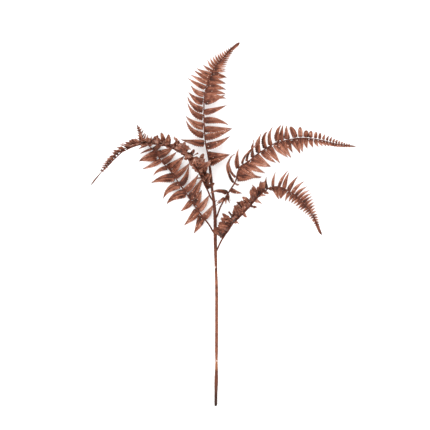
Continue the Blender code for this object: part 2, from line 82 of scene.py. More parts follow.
ROUTE_FINENESS = 40  # points that Catmull-Rom puts between two knots
ROUTE_REACH = 1.5  # mm to each side that a route's direction is taken over
LINE_STEPS = 24  # steps that a leaflet's centre line is bent in
CLOSEST_FEET = 2.4  # mm: leaflets on opposite sides stand at least this far apart, or side by side
FLOOR_CLEARANCE = 0.15  # mm above the floor, at the least, of every leaflet's upper face
MIDRIB_RADIUS = (1.68, 0.85)  # mm, at the stem and at the frond's tip
MIDRIB_FINENESS = 2.5  # mm between a midrib's rings
MIDRIB_SWELLING = 0.18  # how much thicker a midrib is where a leaflet stands
SWELLING_REACH = 1.5  # mm to each side of the leaflet's foot
MIDRIB_SIDES = 10
STALK_HIDDEN = 10.0  # mm of each stalk that the stem's wrap covers
HIGHEST_ROOT = 446.0  # mm up the stem, to which its own knots reach
ROOT_OFFSET = 0.15  # of the way from the stem's middle to the stalk's foot
LEAFLET_THICKNESS = 0.45  # mm
BLADE_CREASE = math.radians(55)  # faces that meet at less than this are shaded smooth
ROD_CREASE = math.radians(50)
FUSED_TIP = 48.0  # mm of a frond's end where the leaflets grow together
TWIST_SPREAD = 9.0  # degrees: how much the leaflets' own twist varies
STALK_SHARE = 0.05  # of a pattern's length
FORWARD_TEETH = 0.4  # of the rear edge's teeth
STALK_STEPS = ((0.1, 0.14), (0.9, 1.0))  # each step's share of the stalk, and end width over start width
LEAFLET_DEPTH = 0.95  # how far under the midrib's middle the leaflets stand, in its radii
LEAFLET_INSET = 0.4  # how far beside the midrib's middle they start, likewise
CRUMPLE_SPREAD = (20.0, 24.0, 50.0, 34.0)  # degrees of heading, lift, curl and spin in a crushed row
LENGTH_SPREAD = 0.3  # of a leaflet's length, in a crushed row
LOBE_OFFSETS = (-5.0, -2.5, 0.0, 2.5, 5.0)  # mm along the midrib, of the lobes of a crowded leaflet
LOBE_BREADTH = 0.72  # of the leaflet's width
FULLNESS = 1.07  # a leaflet's width over its width in the table
FUSED_BREADTH = 1.2  # the fused tip's width over the width of the strip in it
FUSED_TINT = -0.1  # of the paint's ramp: the fused tip is darker
BROAD_FROM = 0.43  # width over length, from which a leaflet is a triangle
SMALLEST_BROAD = 20.0  # mm long
LONGEST_GAP = 0.3  # of a leaflet's length, that can be bare stalk
TINT_SPREAD = 0.05  # of the paint's ramp, from leaflet to leaflet
RUFFLE_DEPTH = (0.05, 0.2)  # of a leaflet's half width
RUFFLE_WAVES = (1.0, 2.6)  # along a leaflet
WAVIER_CRUMPLED = 2.0  # how much deeper the rims wave in a crushed row


# ---------------------------------------------------------------- Blender helpers


def linear(hex_colour: str) -> Colour:
    """Turns an sRGB hex colour into Blender's linear colour.

    Args:
        hex_colour: Such as "#a5604a".

    Returns:
        Red, green, blue and alpha, linear.
    """
    channels = [int(hex_colour[start : start + 2], 16) / 255 for start in (1, 3, 5)]
    return (*[c / 12.92 if c <= 0.04045 else ((c + 0.055) / 1.055) ** 2.4 for c in channels], 1.0)


def per_metre(size_mm: float) -> float:
    """The scale of a pattern on Object coordinates whose features are this many millimetres across."""
    return 1 / (size_mm * MM)


def add_node(
    tree: bpy.types.NodeTree,
    kind: str,
    settings: dict | None = None,
    links: dict | None = None,
) -> bpy.types.Node:
    """Adds a node with its settings and links.

    Args:
        tree: The material's node tree.
        kind: The node's type name, without its ShaderNode.
        settings: Values by property name, input name or input number; "stops" sets a ramp's colours.
        links: The output that feeds each input, by input name or number.

    Returns:
        The new node.
    """
    node = tree.nodes.new(f"ShaderNode{kind}")
    for name, value in (settings or {}).items():
        if name == "stops":
            ramp = node.color_ramp
            while len(ramp.elements) < len(value):
                ramp.elements.new(0.5)
            for element, (position, colour) in zip(ramp.elements, value):
                element.position = position
                element.color = colour
        elif isinstance(name, str) and name in node.bl_rna.properties:
            setattr(node, name, value)
        else:
            node.inputs[name].default_value = value
    for name, output in (links or {}).items():
        tree.links.new(output, node.inputs[name])
    return node


def deselect_all() -> None:
    """Leaves no object selected."""
    for obj in list(bpy.context.selected_objects):
        obj.select_set(False)


def select_only(*objects: bpy.types.Object) -> None:
    """Selects these objects and no other, and makes the first one active."""
    deselect_all()
    for obj in objects:
        obj.select_set(True)
    bpy.context.view_layer.objects.active = objects[0]


@contextmanager
def edit_mode(obj: bpy.types.Object, select: str = "VERT") -> Iterator[None]:
    """Opens an object's mesh for edit-mode operators, with nothing selected.

    Args:
        obj: The mesh object.
        select: VERT, EDGE or FACE.
    """
    select_only(obj)
    bpy.ops.object.mode_set(mode="EDIT")
    bpy.ops.mesh.select_mode(type=select)
    bpy.ops.mesh.select_all(action="DESELECT")
    yield
    bpy.ops.object.mode_set(mode="OBJECT")


def pick(obj: bpy.types.Object, wanted: Callable[[bmesh.types.BMVert], bool]) -> None:
    """Selects just the vertices that pass a test, in edit mode.

    Args:
        obj: The object that is in edit mode.
        wanted: The test.
    """
    mesh = bmesh.from_edit_mesh(obj.data)
    for vert in mesh.verts:
        vert.select_set(wanted(vert))
    mesh.select_flush_mode()
    bmesh.update_edit_mesh(obj.data)


def apply_modifier(obj: bpy.types.Object, kind: str, **settings: object) -> None:
    """Adds a modifier with its settings and applies it.

    Args:
        obj: The object to finish.
        kind: The modifier's type name.
        settings: Its properties.
    """
    select_only(obj)
    modifier = obj.modifiers.new(kind.lower(), kind)
    for name, value in settings.items():
        setattr(modifier, name, value)
    bpy.ops.object.modifier_apply(modifier=modifier.name)


def finish_piece(
    obj: bpy.types.Object, name: str, material: bpy.types.Material, node: str
) -> None:
    """Names and dresses a finished piece, ties it to the frame and reports it.

    Args:
        obj: The piece, with its place in its mesh.
        name: Its name.
        material: What it is made of.
        node: The CAD node that it stands for.
    """
    obj.name = name
    obj.data.name = name
    obj.data.materials.clear()
    obj.data.materials.append(material)
    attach(obj, BODY)
    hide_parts(node)
    log.info("%s: %d faces", name, len(obj.data.polygons))


# ---------------------------------------------------------------- finishes


class Attribute(Enum):
    """The attributes that a leaflet's mesh carries for its material."""

    PLACE = "leaflet_place"  # share of the length, share of the half width (-1 to 1), tint (random, plus the row's painted shade where it is crushed)
    MILLIMETRES = "leaflet_mm"  # along and across the leaflet, and its half width


DULL_PLASTIC = {"Specular IOR Level": 0.2, "IOR": 1.5}  # its gloss is lost under the dry spray
SMOOTH = {"interpolation_type": "SMOOTHSTEP"}
MULTIPLY_ADD = {"operation": "MULTIPLY_ADD"}
COLOURS = {"data_type": "RGBA"}  # a Mix node's inputs 6 and 7 are then its colours, and output 2 the result


def new_material(name: str) -> tuple[bpy.types.Material, Callable[..., bpy.types.Node], bpy.types.NodeSocket]:
    """Starts a material.

    Args:
        name: Its name.

    Returns:
        The material, add_node for its own tree, and its Object coordinates.
    """
    material = bpy.data.materials.new(name)
    material.use_nodes = True
    add = partial(add_node, material.node_tree)
    return material, add, add("TexCoord").outputs["Object"]


def dress_shader(material: bpy.types.Material, inputs: dict) -> None:
    """Sets or feeds inputs of a material's shader.

    Args:
        material: The material.
        inputs: A value or another node's output, by input name.
    """
    tree = material.node_tree
    for name, value in inputs.items():
        socket = tree.nodes["Principled BSDF"].inputs[name]
        if isinstance(value, bpy.types.NodeSocket):
            tree.links.new(value, socket)
        else:
            socket.default_value = value


def stops(places: tuple[float, ...], *colours: str) -> tuple[tuple[float, Colour], ...]:
    """A ramp's stops, from their places and their sRGB hex colours."""
    return tuple(zip(places, map(linear, colours)))


def over(low: float, high: float, start: float, end: float) -> dict[str, float]:
    """A Map Range node's settings, which turn low to high into start to end."""
    return {"From Min": low, "From Max": high, "To Min": start, "To Max": end}


@dataclass(frozen=True)
class SprayedLeaf:
    """Moulded polyethylene leaf under sprayed copper-brown paint: satin, grainy, streaked along its veins."""

    bare: str = "#32170d"  # darkest brown, also the deepest mottling; painted shade at the feet, along the edge towards the frond's tip and in the midvein's groove
    shade: str = "#5a2c1c"
    body: str = "#7b4734"
    light: str = "#925d47"
    worn: str = "#ae8474"  # teeth and tips, where the coat is thickest and dusty
    # pale mica flecks of the glittery spray, painted in as their glints
    glint_fleck: str = "#d3ad9c"
    mottle_mm: float = 9.0  # clouds of thicker and thinner paint
    streak_mm: tuple[float, float] = (26.0, 1.9)  # veins are 0.5 mm wide: coarser here, so that they show
    grain_mm: float = 2.2  # spray droplets are about 0.5 mm: coarser here, so that they show
    fleck_mm: float = 1.6  # mica flecks are about 0.2 mm, and their glints are painted pale: coarser here, so that they show
    fleck_rarity: float = 0.93  # share of the cells without a fleck
    relief_mm: float = 0.3

    def build(self) -> bpy.types.Material:
        """Makes the material.

        Returns:
            The material, which reads the leaflet attributes and Object coordinates.
        """
        material, add, places = new_material("sprayed_polyethylene_leaf")
        share = add("Attribute", {"attribute_name": Attribute.PLACE.value})
        size = add("Attribute", {"attribute_name": Attribute.MILLIMETRES.value})
        share = add("SeparateXYZ", links={"Vector": share.outputs["Vector"]})
        # Clouds of paint over the whole frond, and streaks along each leaflet's veins.
        clouds = {"Scale": per_metre(self.mottle_mm), "Detail": 5.0, "Roughness": 0.65}
        mottle = add("TexNoise", clouds, {"Vector": places})
        lengthwise, crosswise = self.streak_mm
        stretch = {"Scale": (1 / lengthwise, 1 / crosswise, 1.0)}
        veins = add("Mapping", stretch, {"Vector": size.outputs["Vector"]})
        streak = add(
            "TexNoise",
            {"noise_dimensions": "4D", "Scale": 1.0, "Detail": 2.0, "Roughness": 0.6},
            {"Vector": veins.outputs[0], "W": share.outputs["Z"]},
        )
        tone = add("Math", {**MULTIPLY_ADD, 1: 0.9}, {0: mottle.outputs["Fac"], 2: share.outputs["Z"]})
        tone = add("Math", {**MULTIPLY_ADD, 1: 1.1}, {0: streak.outputs["Fac"], 2: tone.outputs[0]})
        # Painted shade at each leaflet's foot, by the midrib, fading out towards its tip.
        foot_shade = add("MapRange", {**SMOOTH, **over(0.0, 0.85, -0.62, -0.36)}, {"Value": share.outputs["X"]})
        tone = add("Math", {}, {0: tone.outputs[0], 1: foot_shade.outputs[0]})
        ramp = stops((0.26, 0.4, 0.53, 0.68, 0.86), self.bare, self.shade, self.body, self.light, self.worn)
        colour = add("ValToRGB", {"stops": ramp}, {"Fac": tone.outputs[0]}).outputs["Color"]
        # Painted shade darkens the edge towards the frond's tip and the groove of the midvein; the toothed
        # edge behind it is dusty and pale, and the leaflet's tip is dark.
        off_vein = add("Math", {"operation": "ABSOLUTE"}, {0: share.outputs["Y"]})
        for measure, low, high, most, target in (
            (share.outputs["Y"], 0.6, 0.95, 0.8, self.bare),
            (share.outputs["Y"], -0.74, -1.0, 0.45, self.worn),
            (off_vein.outputs[0], 0.17, 0.03, 0.75, self.bare),
            (share.outputs["X"], 0.7, 1.0, 0.75, self.shade),
        ):
            mask = add("MapRange", {**SMOOTH, **over(low, high, 0.0, most)}, {"Value": measure})
            mixed = add("Mix", {**COLOURS, 7: linear(target)}, {0: mask.outputs[0], 6: colour})
            colour = mixed.outputs[2]
        # Spray grain over everything, and mica flecks painted pale as their glints.
        droplets = {"Scale": per_metre(self.grain_mm), "Detail": 3.0, "Roughness": 0.7}
        grain = add("TexNoise", droplets, {"Vector": places}).outputs["Fac"]
        grain_tone = add("MapRange", over(0.3, 0.7, 0.6, 1.35), {"Value": grain}).outputs[0]
        grained = add("Mix", {**COLOURS, "blend_type": "MULTIPLY", 0: 1.0}, {6: colour, 7: grain_tone})
        cells = add("TexVoronoi", {"Scale": per_metre(self.fleck_mm)}, {"Vector": places})
        chosen = {"operation": "GREATER_THAN", 1: self.fleck_rarity}
        glint_fleck = add("Math", chosen, {0: cells.outputs["Color"]})
        mica_glint = {**COLOURS, 7: linear(self.glint_fleck)}
        flecked = add("Mix", mica_glint, {0: glint_fleck.outputs[0], 6: grained.outputs[2]})
        height = add("Math", {**MULTIPLY_ADD, 1: 1.4}, {0: streak.outputs["Fac"], 2: grain})
        relief = {"Strength": 0.8, "Distance": self.relief_mm * MM}
        inputs = {
            "Base Color": flecked.outputs[2],
            "Normal": add("Bump", relief, {"Height": height.outputs[0]}).outputs["Normal"],
            "Roughness": add("MapRange", over(0.3, 0.7, 0.46, 0.7), {"Value": grain}).outputs[0],
        }
        dress_shader(material, {**inputs, **DULL_PLASTIC})
        return material


@dataclass(frozen=True)
class SprayedMidrib:
    """Moulded polyethylene rib, sprayed a thinner, darker coat in mottled tones."""

    shade: str = "#38160b"
    body: str = "#552819"
    light: str = "#744130"
    mottle_mm: float = 7.0
    grain_mm: float = 1.4
    relief_mm: float = 0.1

    def build(self) -> bpy.types.Material:
        """Makes the material.

        Returns:
            The material, which reads Object coordinates.
        """
        material, add, places = new_material("sprayed_polyethylene_rib")
        clouds = {"Scale": per_metre(self.mottle_mm), "Detail": 6.0, "Roughness": 0.7}
        mottle = add("TexNoise", clouds, {"Vector": places})
        ramp = stops((0.32, 0.52, 0.75), self.shade, self.body, self.light)
        paint = add("ValToRGB", {"stops": ramp}, {"Fac": mottle.outputs["Fac"]})
        grain = add("TexNoise", {"Scale": per_metre(self.grain_mm), "Detail": 2.0}, {"Vector": places})
        relief = {"Strength": 0.6, "Distance": self.relief_mm * MM}
        inputs = {
            "Base Color": paint.outputs["Color"],
            "Normal": add("Bump", relief, {"Height": grain.outputs["Fac"]}).outputs["Normal"],
            "Roughness": 0.6,
        }
        dress_shader(material, {**inputs, **DULL_PLASTIC})
        return material


@dataclass(frozen=True)
class PaintedTape:
    """Stretched plastic floral tape, sprayed copper brown; the end that was held stayed bare and dark."""

    shade: str = "#4a2114"
    body: str = "#6d3d2a"
    light: str = "#89543d"
    bare: str = "#160906"
    chip: str = "#d4beb1"
    mottle_mm: float = 14.0
    grain_mm: float = 1.8
    relief_mm: float = 0.15
    # Distances from the cut end, in mm.
    bare_mm: tuple[float, float] = (0.0, 54.0)  # all bare up to here, all painted from here
    wander_mm: float = 24.0  # how far the edge of the paint wanders, to both sides together
    darkening_mm: tuple[float, float] = (262.0, 345.0)  # the tape grows darker up this stretch
    # Stretches that were handled: from, to, and the colour that the paint was rubbed to.
    rubbed_mm: tuple[tuple[float, float, str], ...] = ((16.0, 78.0, "#4a2011"), (77.0, 91.0, "#8c5939"))
    rubbed_edge: float = 5.0
    # Flakes of paint that came off: where along and across, half length, half width.
    chips_mm: tuple[tuple[float, float, float, float], ...] = ((93, 3.4, 1.0, 1.3), (286, 1.1, 1.5, 0.8))
    chip_edge: float = 0.6
    patch_cover: float = 0.85  # how much of the paint's colour a patch hides

    def build(self, cut_end: Vector) -> bpy.types.Material:
        """Makes the material.

        Args:
            cut_end: Where the stem's cut end is, in metres.

        Returns:
            The material, which reads Object coordinates.
        """
        material, add, places = new_material("sprayed_floral_tape")
        axes = add("SeparateXYZ", links={"Vector": places}).outputs
        measures = []
        for axis, zero in (("X", cut_end.x), ("Y", cut_end.y)):
            millimetres = {**over(zero, zero + 1, 0.0, 1 / MM), "clamp": False}
            measures.append(add("MapRange", millimetres, {"Value": axes[axis]}).outputs[0])
        across, along = measures
        clouds = {"Scale": per_metre(self.mottle_mm), "Detail": 7.0, "Roughness": 0.7}
        mottle = add("TexNoise", clouds, {"Vector": places}).outputs["Fac"]
        darkening = add("MapRange", over(*self.darkening_mm, 0.0, -0.14), {"Value": along})
        tone = add("Math", {}, {0: mottle, 1: darkening.outputs[0]})
        ramp = stops((0.35, 0.5, 0.68), self.shade, self.body, self.light)
        colour = add("ValToRGB", {"stops": ramp}, {"Fac": tone.outputs[0]}).outputs["Color"]
        for centre, beside, half_length, half_width, edge, target in self.patches():
            masks = []
            for axis, middle, half in ((along, centre, half_length), (across, beside, half_width)):
                away = add("Math", {"operation": "SUBTRACT", 1: middle}, {0: axis})
                away = add("Math", {"operation": "ABSOLUTE"}, {0: away.outputs[0]})
                fade = over(half + edge, half, 0.0, self.patch_cover)
                mask = add("MapRange", fade, {"Value": away.outputs[0]})
                masks.append(mask.outputs[0])
            both = add("Math", {"operation": "MULTIPLY"}, dict(enumerate(masks)))
            mixed = add("Mix", {**COLOURS, 7: linear(target)}, {0: both.outputs[0], 6: colour})
            colour = mixed.outputs[2]
        wander = add("Math", {**MULTIPLY_ADD, 1: self.wander_mm, 2: -self.wander_mm / 2}, {0: mottle})
        ragged = add("Math", {}, {0: along, 1: wander.outputs[0]})
        painted, unpainted = self.bare_mm[1], self.bare_mm[0]
        bare = add("MapRange", over(painted, unpainted, 0.0, 1.0), {"Value": ragged.outputs[0]})
        held = add("Mix", {**COLOURS, 7: linear(self.bare)}, {0: bare.outputs[0], 6: colour})
        grain = add("TexNoise", {"Scale": per_metre(self.grain_mm), "Detail": 3.0}, {"Vector": places})
        relief = {"Strength": 0.7, "Distance": self.relief_mm * MM}
        inputs = {
            "Base Color": held.outputs[2],
            "Normal": add("Bump", relief, {"Height": grain.outputs["Fac"]}).outputs["Normal"],
            "Roughness": 0.58,
        }
        dress_shader(material, {**inputs, **DULL_PLASTIC})
        return material

    def patches(self) -> list[tuple[float, float, float, float, float, str]]:
        """Lists the rubbed stretches and the chips.

        Returns:
            For each, where it is along and across, its half length and half width, its soft edge, its colour.
        """
        all_round = 1 / MM
        rubbed = [
            ((low + high) / 2, 0, (high - low) / 2, all_round, self.rubbed_edge, target)
            for low, high, target in self.rubbed_mm
        ]
        return rubbed + [(*chip, self.chip_edge, self.chip) for chip in self.chips_mm]


@dataclass(frozen=True)
class Matt:
    """A plain matt coat with a very faint unevenness, for the floor and the wire's cut face."""

    name: str
    colour: str
    cloud: str
    cloud_mm: float
    roughness: float
    metallic: float = 0.0

    def build(self) -> bpy.types.Material:
        """Makes the material.

        Returns:
            The material, which reads Object coordinates.
        """
        material, add, places = new_material(self.name)
        cloud = add("TexNoise", {"Scale": per_metre(self.cloud_mm), "Detail": 2.0}, {"Vector": places})
        colours = {**COLOURS, 6: linear(self.colour), 7: linear(self.cloud)}
        mixed = add("Mix", colours, {0: cloud.outputs["Fac"]})
        inputs = {"Base Color": mixed.outputs[2], "Roughness": self.roughness, "Metallic": self.metallic}
        dress_shader(material, inputs)
        return material


FLOOR_PAPER = Matt("studio_paper", "#fefefe", "#fafafa", 300.0, 0.9)
WIRE = Matt("cut_steel_wire", "#6d6a68", "#4d4a48", 0.6, 0.45, 1.0)


# ---------------------------------------------------------------- leaflets


@dataclass(frozen=True)
class Leaflet:
    """One leaflet, by its foot's place on the midrib, its size, its direction and its bend."""

    at: float  # mm along the frond's route
    length: float  # mm
    width: float  # mm
    heading: float  # degrees from the midrib's direction, 90 square to it
    lift: float = 0.0  # degrees out of the frond's plane, towards its face
    bow: float = 0.0  # degrees that it bends in its own plane, towards the frond's tip
    curl: float = 0.0  # degrees that it bends out of its own plane, towards the frond's face
    spin: float = 0.0  # degrees turned about its own length


def leaflets(*rows: tuple[float, ...]) -> tuple[Leaflet, ...]:
    """Leaflets from rows of their sizes, in the order of Leaflet's fields; what a row leaves out is 0."""
    return tuple(Leaflet(*row) for row in rows)


@dataclass(frozen=True)
class BentLine:
    """A leaflet's centre line: its places, and the directions of its forward edge and of its top there."""

    places: np.ndarray
    edges: np.ndarray
    tops: np.ndarray
    left_handed: bool

    def at(self, shares: np.ndarray) -> tuple[np.ndarray, np.ndarray, np.ndarray]:
        """Reads the line at shares of its length.

        Args:
            shares: From 0 at the foot to 1 at the tip.

        Returns:
            The places and the two directions there.
        """
        steps = np.linspace(0, 1, len(self.places))
        return tuple(
            np.stack([np.interp(shares, steps, row[:, axis]) for axis in range(3)], axis=1)
            for row in (self.places, self.edges, self.tops)
        )


@dataclass(frozen=True)
class Ruffle:
    """How one leaflet's rims wave, as a share of its half width, and how its paint differs from others'."""

    depth: float
    waves: float
    phase: float
    # a random tone, plus the row's painted shade where the row is crushed
    tint: float

    def height(self, place: np.ndarray) -> np.ndarray:
        """The wave's height at each vertex of a pattern."""
        turn = 2 * math.pi * self.waves * place[:, 0] + self.phase + place[:, 1]
        return self.depth * np.abs(place[:, 1]) * np.sin(turn)


@dataclass(frozen=True)
class LeafletMould:
    """The flat pattern that leaflets of one kind are pressed from.

    Along X the pattern is a share of the leaflet's length, and across Y and up Z a share of its half width.
    +Y is the edge towards the frond's tip.
    """

    name: str
    longest: float  # mm: leaflets up to this length are pressed from it
    columns: int
    rows: int  # an even number
    tooth: float  # how far the teeth stand out
    pleat: float  # how high the blade stands between two side veins
    camber: float  # how far the rims hang below the middle
    groove: float  # how deep the midvein is pressed in
    forward: Knots  # half width of the edge towards the frond's tip, by share of the length
    rear: Knots  # half width of the other edge

    def model(self) -> bpy.types.Object:
        """Models the pattern: a grid, cambered, cut to the outline, toothed, and drawn out to its stalk.

        Returns:
            The pattern, an open sheet with its face up.
        """
        deselect_all()
        bpy.ops.mesh.primitive_grid_add(x_subdivisions=self.columns, y_subdivisions=self.rows, size=2)
        pattern = bpy.context.object
        pattern.name = f"{self.name}_pattern"
        middle = self.rows // 2
        cell = {
            vert.index: (round((vert.co.x + 1) / 2 * self.columns), round((vert.co.y + 1) * middle))
            for vert in pattern.data.vertices
        }
        with edit_mode(pattern):
            bpy.ops.mesh.select_all(action="SELECT")
            bpy.ops.transform.resize(value=((1 - STALK_SHARE) / 2, 1, 1), center_override=(0, 0, 0))
            bpy.ops.transform.translate(value=((1 + STALK_SHARE) / 2, 0, 0))
            for row in range(self.rows + 1):
                across = row / middle - 1
                sunk = self.camber * across**2 + (self.groove if row == middle else 0)
                pick(pattern, lambda vert: cell[vert.index][1] == row)
                bpy.ops.transform.translate(value=(0, 0, -sunk))
            pick(pattern, lambda vert: cell[vert.index][0] % 2 == 1)
            bpy.ops.transform.translate(value=(0, 0, self.pleat))
            for column in range(self.columns):
                share = column / self.columns
                for outline, side in ((self.forward, 1), (self.rear, -1)):
                    half = knot_value(outline, share)
                    there = {
                        index for index, (x, y) in cell.items() if x == column and (y - middle) * side > 0
                    }
                    pick(pattern, lambda vert: vert.index in there)
                    bpy.ops.transform.resize(value=(1, half, half), center_override=(0, 0, 0))
            for rim, share in ((self.rows, FORWARD_TEETH), (0, 1.0)):
                there = {index for index, (x, y) in cell.items() if x % 2 == 1 and y == rim}
                pick(pattern, lambda vert: vert.index in there)
                bpy.ops.transform.resize(value=(1, 1 + share * self.tooth, 1), center_override=(0, 0, 0))
            pick(pattern, lambda vert: cell[vert.index][0] == 0)
            for back, taper in STALK_STEPS:
                bpy.ops.mesh.extrude_region_move(
                    TRANSFORM_OT_translate={"value": (-back * STALK_SHARE, 0, 0)}
                )
                bpy.ops.transform.resize(value=(1, taper, taper), center_override=(0, 0, 0))
            tip = 1 - 0.5 * (1 - STALK_SHARE) / self.columns
            pick(pattern, lambda vert: vert.co.x > tip)
            bpy.ops.mesh.merge(type="CENTER")
        self.mark(pattern)
        return pattern

    def mark(self, pattern: bpy.types.Object) -> None:
        """Writes each vertex's share of the length and of the half width on the pattern."""
        co = coordinates(pattern.data)
        half = np.array([np.abs(co[np.abs(co[:, 0] - x) < 1e-4, 1]).max() for x in co[:, 0]])
        place = np.stack([co[:, 0], co[:, 1] / np.maximum(half, 1e-6), np.zeros(len(co))], axis=1)
        write_vectors(pattern.data, Attribute.PLACE, place)

    def press(
        self, pattern: bpy.types.Object, line: BentLine, leaflet: Leaflet, ruffle: Ruffle, habit: "Habit"
    ) -> bpy.types.Object:
        """Presses one leaflet: a copy of the pattern, laid along its bent line.

        Args:
            pattern: The pattern that model() returned.
            line: The leaflet's centre line, in metres.
            leaflet: Its sizes.
            ruffle: How its rims wave, and its tint.
            habit: How far its blade stands off the midrib, and how broad and hollow it is.

        Returns:
            The leaflet, an open sheet with its face towards the frond's face.
        """
        mesh = pattern.data.copy()
        co = coordinates(mesh)
        place = read_vectors(mesh, Attribute.PLACE)
        half = leaflet.width / 2 * FULLNESS * knot_value(habit.breadth, leaflet.at)
        bare = min(knot_value(habit.gap, leaflet.at) / leaflet.length, LONGEST_GAP)
        share = np.interp(co[:, 0], (0, STALK_SHARE, 1), (0, bare, 1))
        centre, edge, top = line.at(share)
        height = co[:, 2] * habit.hollow + ruffle.height(place)
        points = centre + (edge * co[:, 1:2] + top * height[:, None]) * (half * MM)
        points[:, 2] = np.maximum(points[:, 2], FLOOR_CLEARANCE * MM)
        mesh.vertices.foreach_set("co", points.astype(np.float32).ravel())
        place[:, 2] = ruffle.tint
        write_vectors(mesh, Attribute.PLACE, place)
        sizes = np.stack([share * leaflet.length, co[:, 1] * half, np.full(len(co), half)], axis=1)
        write_vectors(mesh, Attribute.MILLIMETRES, sizes)
        if line.left_handed:
            mesh.flip_normals()
        made = bpy.data.objects.new(self.name, mesh)
        bpy.context.scene.collection.objects.link(made)
        return made


LARGE = LeafletMould(
    name="large_leaflet",
    longest=90,
    columns=24,
    rows=4,
    tooth=0.17,
    pleat=0.08,
    camber=0.3,
    groove=0.12,
    forward=((0, 0.8), (0.06, 1.0), (0.2, 0.92), (0.4, 0.66), (0.6, 0.42), (0.8, 0.22), (0.92, 0.1), (1, 0)),
    rear=((0, 0.74), (0.06, 0.95), (0.2, 1.08), (0.38, 1.04), (0.55, 0.84), (0.75, 0.5), (0.9, 0.2), (1, 0)),
)
SMALL = replace(
    LARGE, name="small_leaflet", longest=27, columns=12, rows=2, tooth=0.16, pleat=0.06, camber=0.2
)
TINY = replace(LARGE, name="tiny_leaflet", longest=13, columns=6, rows=2, tooth=0.1, pleat=0.0, camber=0.15)
BLUNT = replace(
    LARGE,
    name="blunt_leaflet",
    columns=14,
    forward=((0, 0.8), (0.1, 1.0), (0.5, 0.95), (0.75, 0.8), (0.92, 0.5), (1, 0)),
    rear=((0, 0.75), (0.1, 1.0), (0.5, 1.0), (0.75, 0.85), (0.92, 0.55), (1, 0)),
)
BROAD = replace(
    LARGE,
    name="broad_leaflet",
    forward=((0, 0.9), (0.06, 1.0), (0.3, 0.74), (0.6, 0.41), (0.85, 0.15), (1, 0)),
    rear=((0, 0.92), (0.06, 1.04), (0.3, 0.82), (0.6, 0.5), (0.85, 0.19), (1, 0)),
)
FUSED = replace(
    LARGE,
    name="fused_tip",
    longest=0,
    tooth=0.12,
    forward=((0, 0.25), (0.3, 0.7), (0.6, 1.0), (0.85, 0.9), (0.95, 0.6), (1, 0)),
    rear=((0, 0.25), (0.3, 0.6), (0.6, 0.95), (0.85, 0.95), (0.95, 0.65), (1, 0)),
)


def coordinates(mesh: bpy.types.Mesh) -> np.ndarray:
    """The mesh's vertices as an array of rows of three."""
    values = np.empty(len(mesh.vertices) * 3)
    mesh.vertices.foreach_get("co", values)
    return values.reshape(-1, 3)


def read_vectors(mesh: bpy.types.Mesh, name: Attribute) -> np.ndarray:
    """A vector attribute of the mesh's vertices as an array of rows of three."""
    values = np.empty(len(mesh.vertices) * 3)
    mesh.attributes[name.value].data.foreach_get("vector", values)
    return values.reshape(-1, 3)


def write_vectors(mesh: bpy.types.Mesh, name: Attribute, values: np.ndarray) -> None:
    """Stores a vector attribute on the mesh's vertices."""
    stored = mesh.attributes.get(name.value) or mesh.attributes.new(name.value, "FLOAT_VECTOR", "POINT")
    stored.data.foreach_set("vector", values.astype(np.float32).ravel())


# ---------------------------------------------------------------- fronds


@dataclass(frozen=True)
class Row:
    """The leaflets on one side: some given one by one, then a run that changes evenly from key to key."""

    single: tuple[Leaflet, ...]
    run: tuple[Leaflet, ...]

    def leaflets(self, pitch: Knots) -> list[Leaflet]:
        """Lists the row from the stem outwards.

        Args:
            pitch: The distance from one leaflet of the run to the next, along the frond.

        Returns:
            The leaflets.
        """
        table = np.array([astuple(leaflet) for leaflet in self.run])
        made = list(self.single)
        at = self.run[0].at
        while at <= self.run[-1].at:
            made.append(Leaflet(*(float(np.interp(at, table[:, 0], column)) for column in table.T)))
            at += knot_value(pitch, at)
        return made


@dataclass(frozen=True)
class Habit:
    """How a row of leaflets is carried, beyond the leaflets' own sizes."""

    gap: Knots = ((0, 0.2),)  # mm of bare stalk between the midrib and the blade, by mm along the route
    breadth: Knots = ((0, 1.0),)  # a blade's width over its nominal width, likewise
    hollow: float = 1.0  # how cupped the blades are
    crumple: Knots = ((0, 0), (1, 0))  # (mm along the route, 0 for neatly laid to 1 for crushed)
    shade: Knots = ((0, 0.0),)  # how much darker than usual the paint is, on its ramp: painted shade where above zero, in the crushed rows; a lighter tone where below zero
    blunt: Knots = ()  # stretches of the route whose leaflets have rounded tips
    packed: tuple[float, float] = (0, 0)  # the stretch where side lobes crowd between the leaflets

    def lobes(self, at: float) -> tuple[float, ...]:
        """How far along the route each lobe of a leaflet's crowd stands from the leaflet's foot, in mm."""
        return LOBE_OFFSETS if self.packed[0] <= at < self.packed[1] else (0.0,)

    def mould(self, leaflet: Leaflet) -> LeafletMould:
        """The mould that a leaflet of this row is pressed from."""
        if any(low <= leaflet.at < high for low, high in self.blunt):
            return BLUNT
        if leaflet.width > BROAD_FROM * leaflet.length and leaflet.length > SMALLEST_BROAD:
            return BROAD
        return next(mould for mould in (TINY, SMALL, LARGE) if leaflet.length <= mould.longest)

    def crumpled(self, leaflet: Leaflet, draw: random.Random) -> Leaflet:
        """A leaflet as the packing left it: turned, lifted, curled and twisted at random.

        Args:
            leaflet: The leaflet as it was moulded.
            draw: The frond's random numbers; five are taken for every leaflet.

        Returns:
            The leaflet as it stands.
        """
        amount = knot_value(self.crumple, leaflet.at)
        heading, lift, curl, spin = (draw.gauss(0, 1) * amount * spread for spread in CRUMPLE_SPREAD)
        return replace(
            leaflet,
            length=leaflet.length * (1 + LENGTH_SPREAD * amount * draw.uniform(-1, 1)),
            width=leaflet.width * (LOBE_BREADTH if len(self.lobes(leaflet.at)) > 1 else 1),
            heading=leaflet.heading + heading,
            lift=leaflet.lift + lift,
            curl=leaflet.curl + curl,
            spin=leaflet.spin + spin,
        )


def knot_value(knots: Knots, at: float) -> float:
    """The value that the knots, pairs of distance and value, give at a distance."""
    return float(np.interp(at, *zip(*knots)))


def midrib_radius(at: float, length: float) -> float:
    """The radius of a midrib of this length at a distance from the frond's foot, in mm."""
    return float(np.interp(at, (0, length), MIDRIB_RADIUS))


